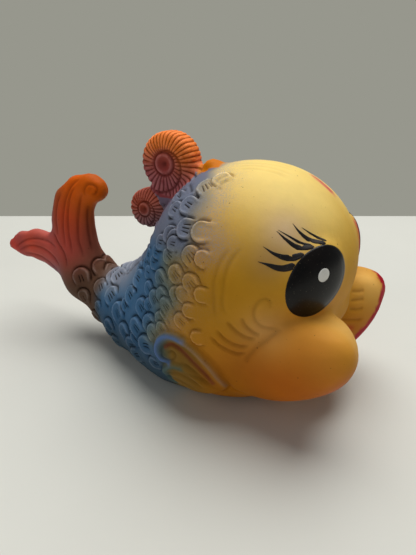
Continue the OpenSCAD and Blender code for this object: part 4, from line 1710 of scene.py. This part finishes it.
@dataclass
class Studio:
    """A pale floor and soft light from above, seen from the photograph's angle."""

    width: float = 0.95
    depth: float = 0.497
    turn: float = 28.0
    view: View = View()
    wall_rgb: tuple[float, float, float] = (151, 151, 141)

    def floor(self, material: bpy.types.Material) -> bpy.types.Object:
        """Lays the floor, with a slight fall at its edges.

        Args:
            material: its finish.

        Returns:
            The floor.
        """
        count = 24
        side = np.linspace(-0.5, 0.5, count + 1)
        gx, gy = np.meshgrid(side * self.width, side * self.depth, indexing="ij")
        t = math.radians(self.turn)
        drop = -0.0006 * (np.abs(gx) / self.width + np.abs(gy) / self.depth) ** 4
        c, s, row = math.cos(t), math.sin(t), count + 1
        points = np.stack([gx * c - gy * s, gx * s + gy * c, drop], -1)
        faces = [[i * row + j, (i + 1) * row + j, (i + 1) * row + j + 1, i * row + j + 1]
                 for i in range(count) for j in range(count)]
        thing = show(Net(points.reshape(-1, 3) / MM, faces).mesh("floor"), "studio_floor", material)
        return thing

    def lamp(self, name: str, at: tuple[float, ...], size: float, watts: float,
             rgb: tuple[float, ...]) -> None:
        """Hangs one soft lamp that points at the toy.

        Args:
            name: its name.
            at: its place.
            size: its diameter.
            watts: its strength.
            rgb: its colour.
        """
        data = bpy.data.lights.new(name, "AREA")
        data.shape, data.size, data.energy, data.color = "DISK", size, watts, rgb
        thing = bpy.data.objects.new(name, data)
        thing.location = at
        aim = Vector((-0.02, 0, 0.05)) - Vector(at)
        thing.rotation_euler = aim.to_track_quat("-Z", "Y").to_euler()
        bpy.context.scene.collection.objects.link(thing)

    def world(self) -> None:
        """Sets a dim grey room, which the camera sees as the wall."""
        world = bpy.data.worlds.new("room")
        world.use_nodes = True
        bpy.context.scene.world = world
        back = world.node_tree.nodes["Background"]
        light = world.node_tree.nodes.new("ShaderNodeLightPath")
        path = Wire(world.node_tree, light.outputs["Is Camera Ray"])
        wall = ink(self.wall_rgb)
        colour = path.mix((0.15, 0.15, 0.15), wall)
        world.node_tree.links.new(colour.socket, back.inputs["Color"])

    def camera(self) -> None:
        """Sets the camera where the photograph was taken from."""
        data = bpy.data.cameras.new("camera")
        data.sensor_width, data.lens, data.clip_start = self.view.film, self.view.lens, 0.005
        thing = bpy.data.objects.new("camera", data)
        thing.location = self.view.eye_at
        aim = Vector(self.view.look_at) - Vector(self.view.eye_at)
        thing.rotation_euler = aim.to_track_quat("-Z", "Y").to_euler()
        bpy.context.scene.collection.objects.link(thing)
        bpy.context.scene.camera = thing

    def build(self, material: bpy.types.Material) -> bpy.types.Object:
        """Sets up the floor, lamps, room and camera.

        Args:
            material: the floor's finish.

        Returns:
            The floor.
        """
        self.lamp("key", (-0.06, 0.27, 1.0), 1.15, 12.6, (1.0, 0.985, 0.95))
        self.lamp("fill", (-0.1, -0.7, 0.42), 0.7, 0.8, (0.95, 0.97, 1.0))
        self.world()
        self.camera()
        bpy.context.scene.view_settings.view_transform = "Standard"
        return self.floor(material)


def refinish(name: str, material: bpy.types.Material) -> None:
    """Gives a CAD piece a better finish.

    Args:
        name: the piece's node.
        material: the finish.
    """
    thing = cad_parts[name]
    if not thing.data.materials:
        thing.data.materials.append(material)
    for slot in thing.material_slots:
        slot.material = material
    report(thing)


def main() -> None:
    """Builds every piece and the studio."""
    logging.basicConfig(level=logging.INFO, format="%(name)s %(relativeCreated)d ms %(message)s")
    form = FishForm()
    vinyl = PaintedVinyl().make()
    black = Enamel("black_enamel", (10, 9, 10), (22, 17, 15), 0.28, 0.05, 0.2).make()
    white = Enamel("white_enamel", (234, 234, 228), (206, 206, 198), 0.35, 0.1).make()
    lash = Enamel("lash_paint", (18, 15, 16), (44, 34, 30), 0.5, 0.0, 0.3).make()
    report(Moulding(form).build(vinyl))
    for side in Side:
        for thing in PaintedEye(form, side).build(black, white, lash):
            report(thing)
    refinish("whistle_plug", HardPlastic("whistle_plastic", (232, 222, 196), (206, 184, 140)).make())
    bed = HardPlastic("wedge_plastic", (196, 160, 112), (150, 112, 70), 0.42).make()
    refinish("reed_bed", bed)
    refinish("reed_wedge", bed)
    refinish("reed_tongue", ThinBrass().make())
    Studio().build(StudioFloor().make())


if __name__ == "__main__":
    main()
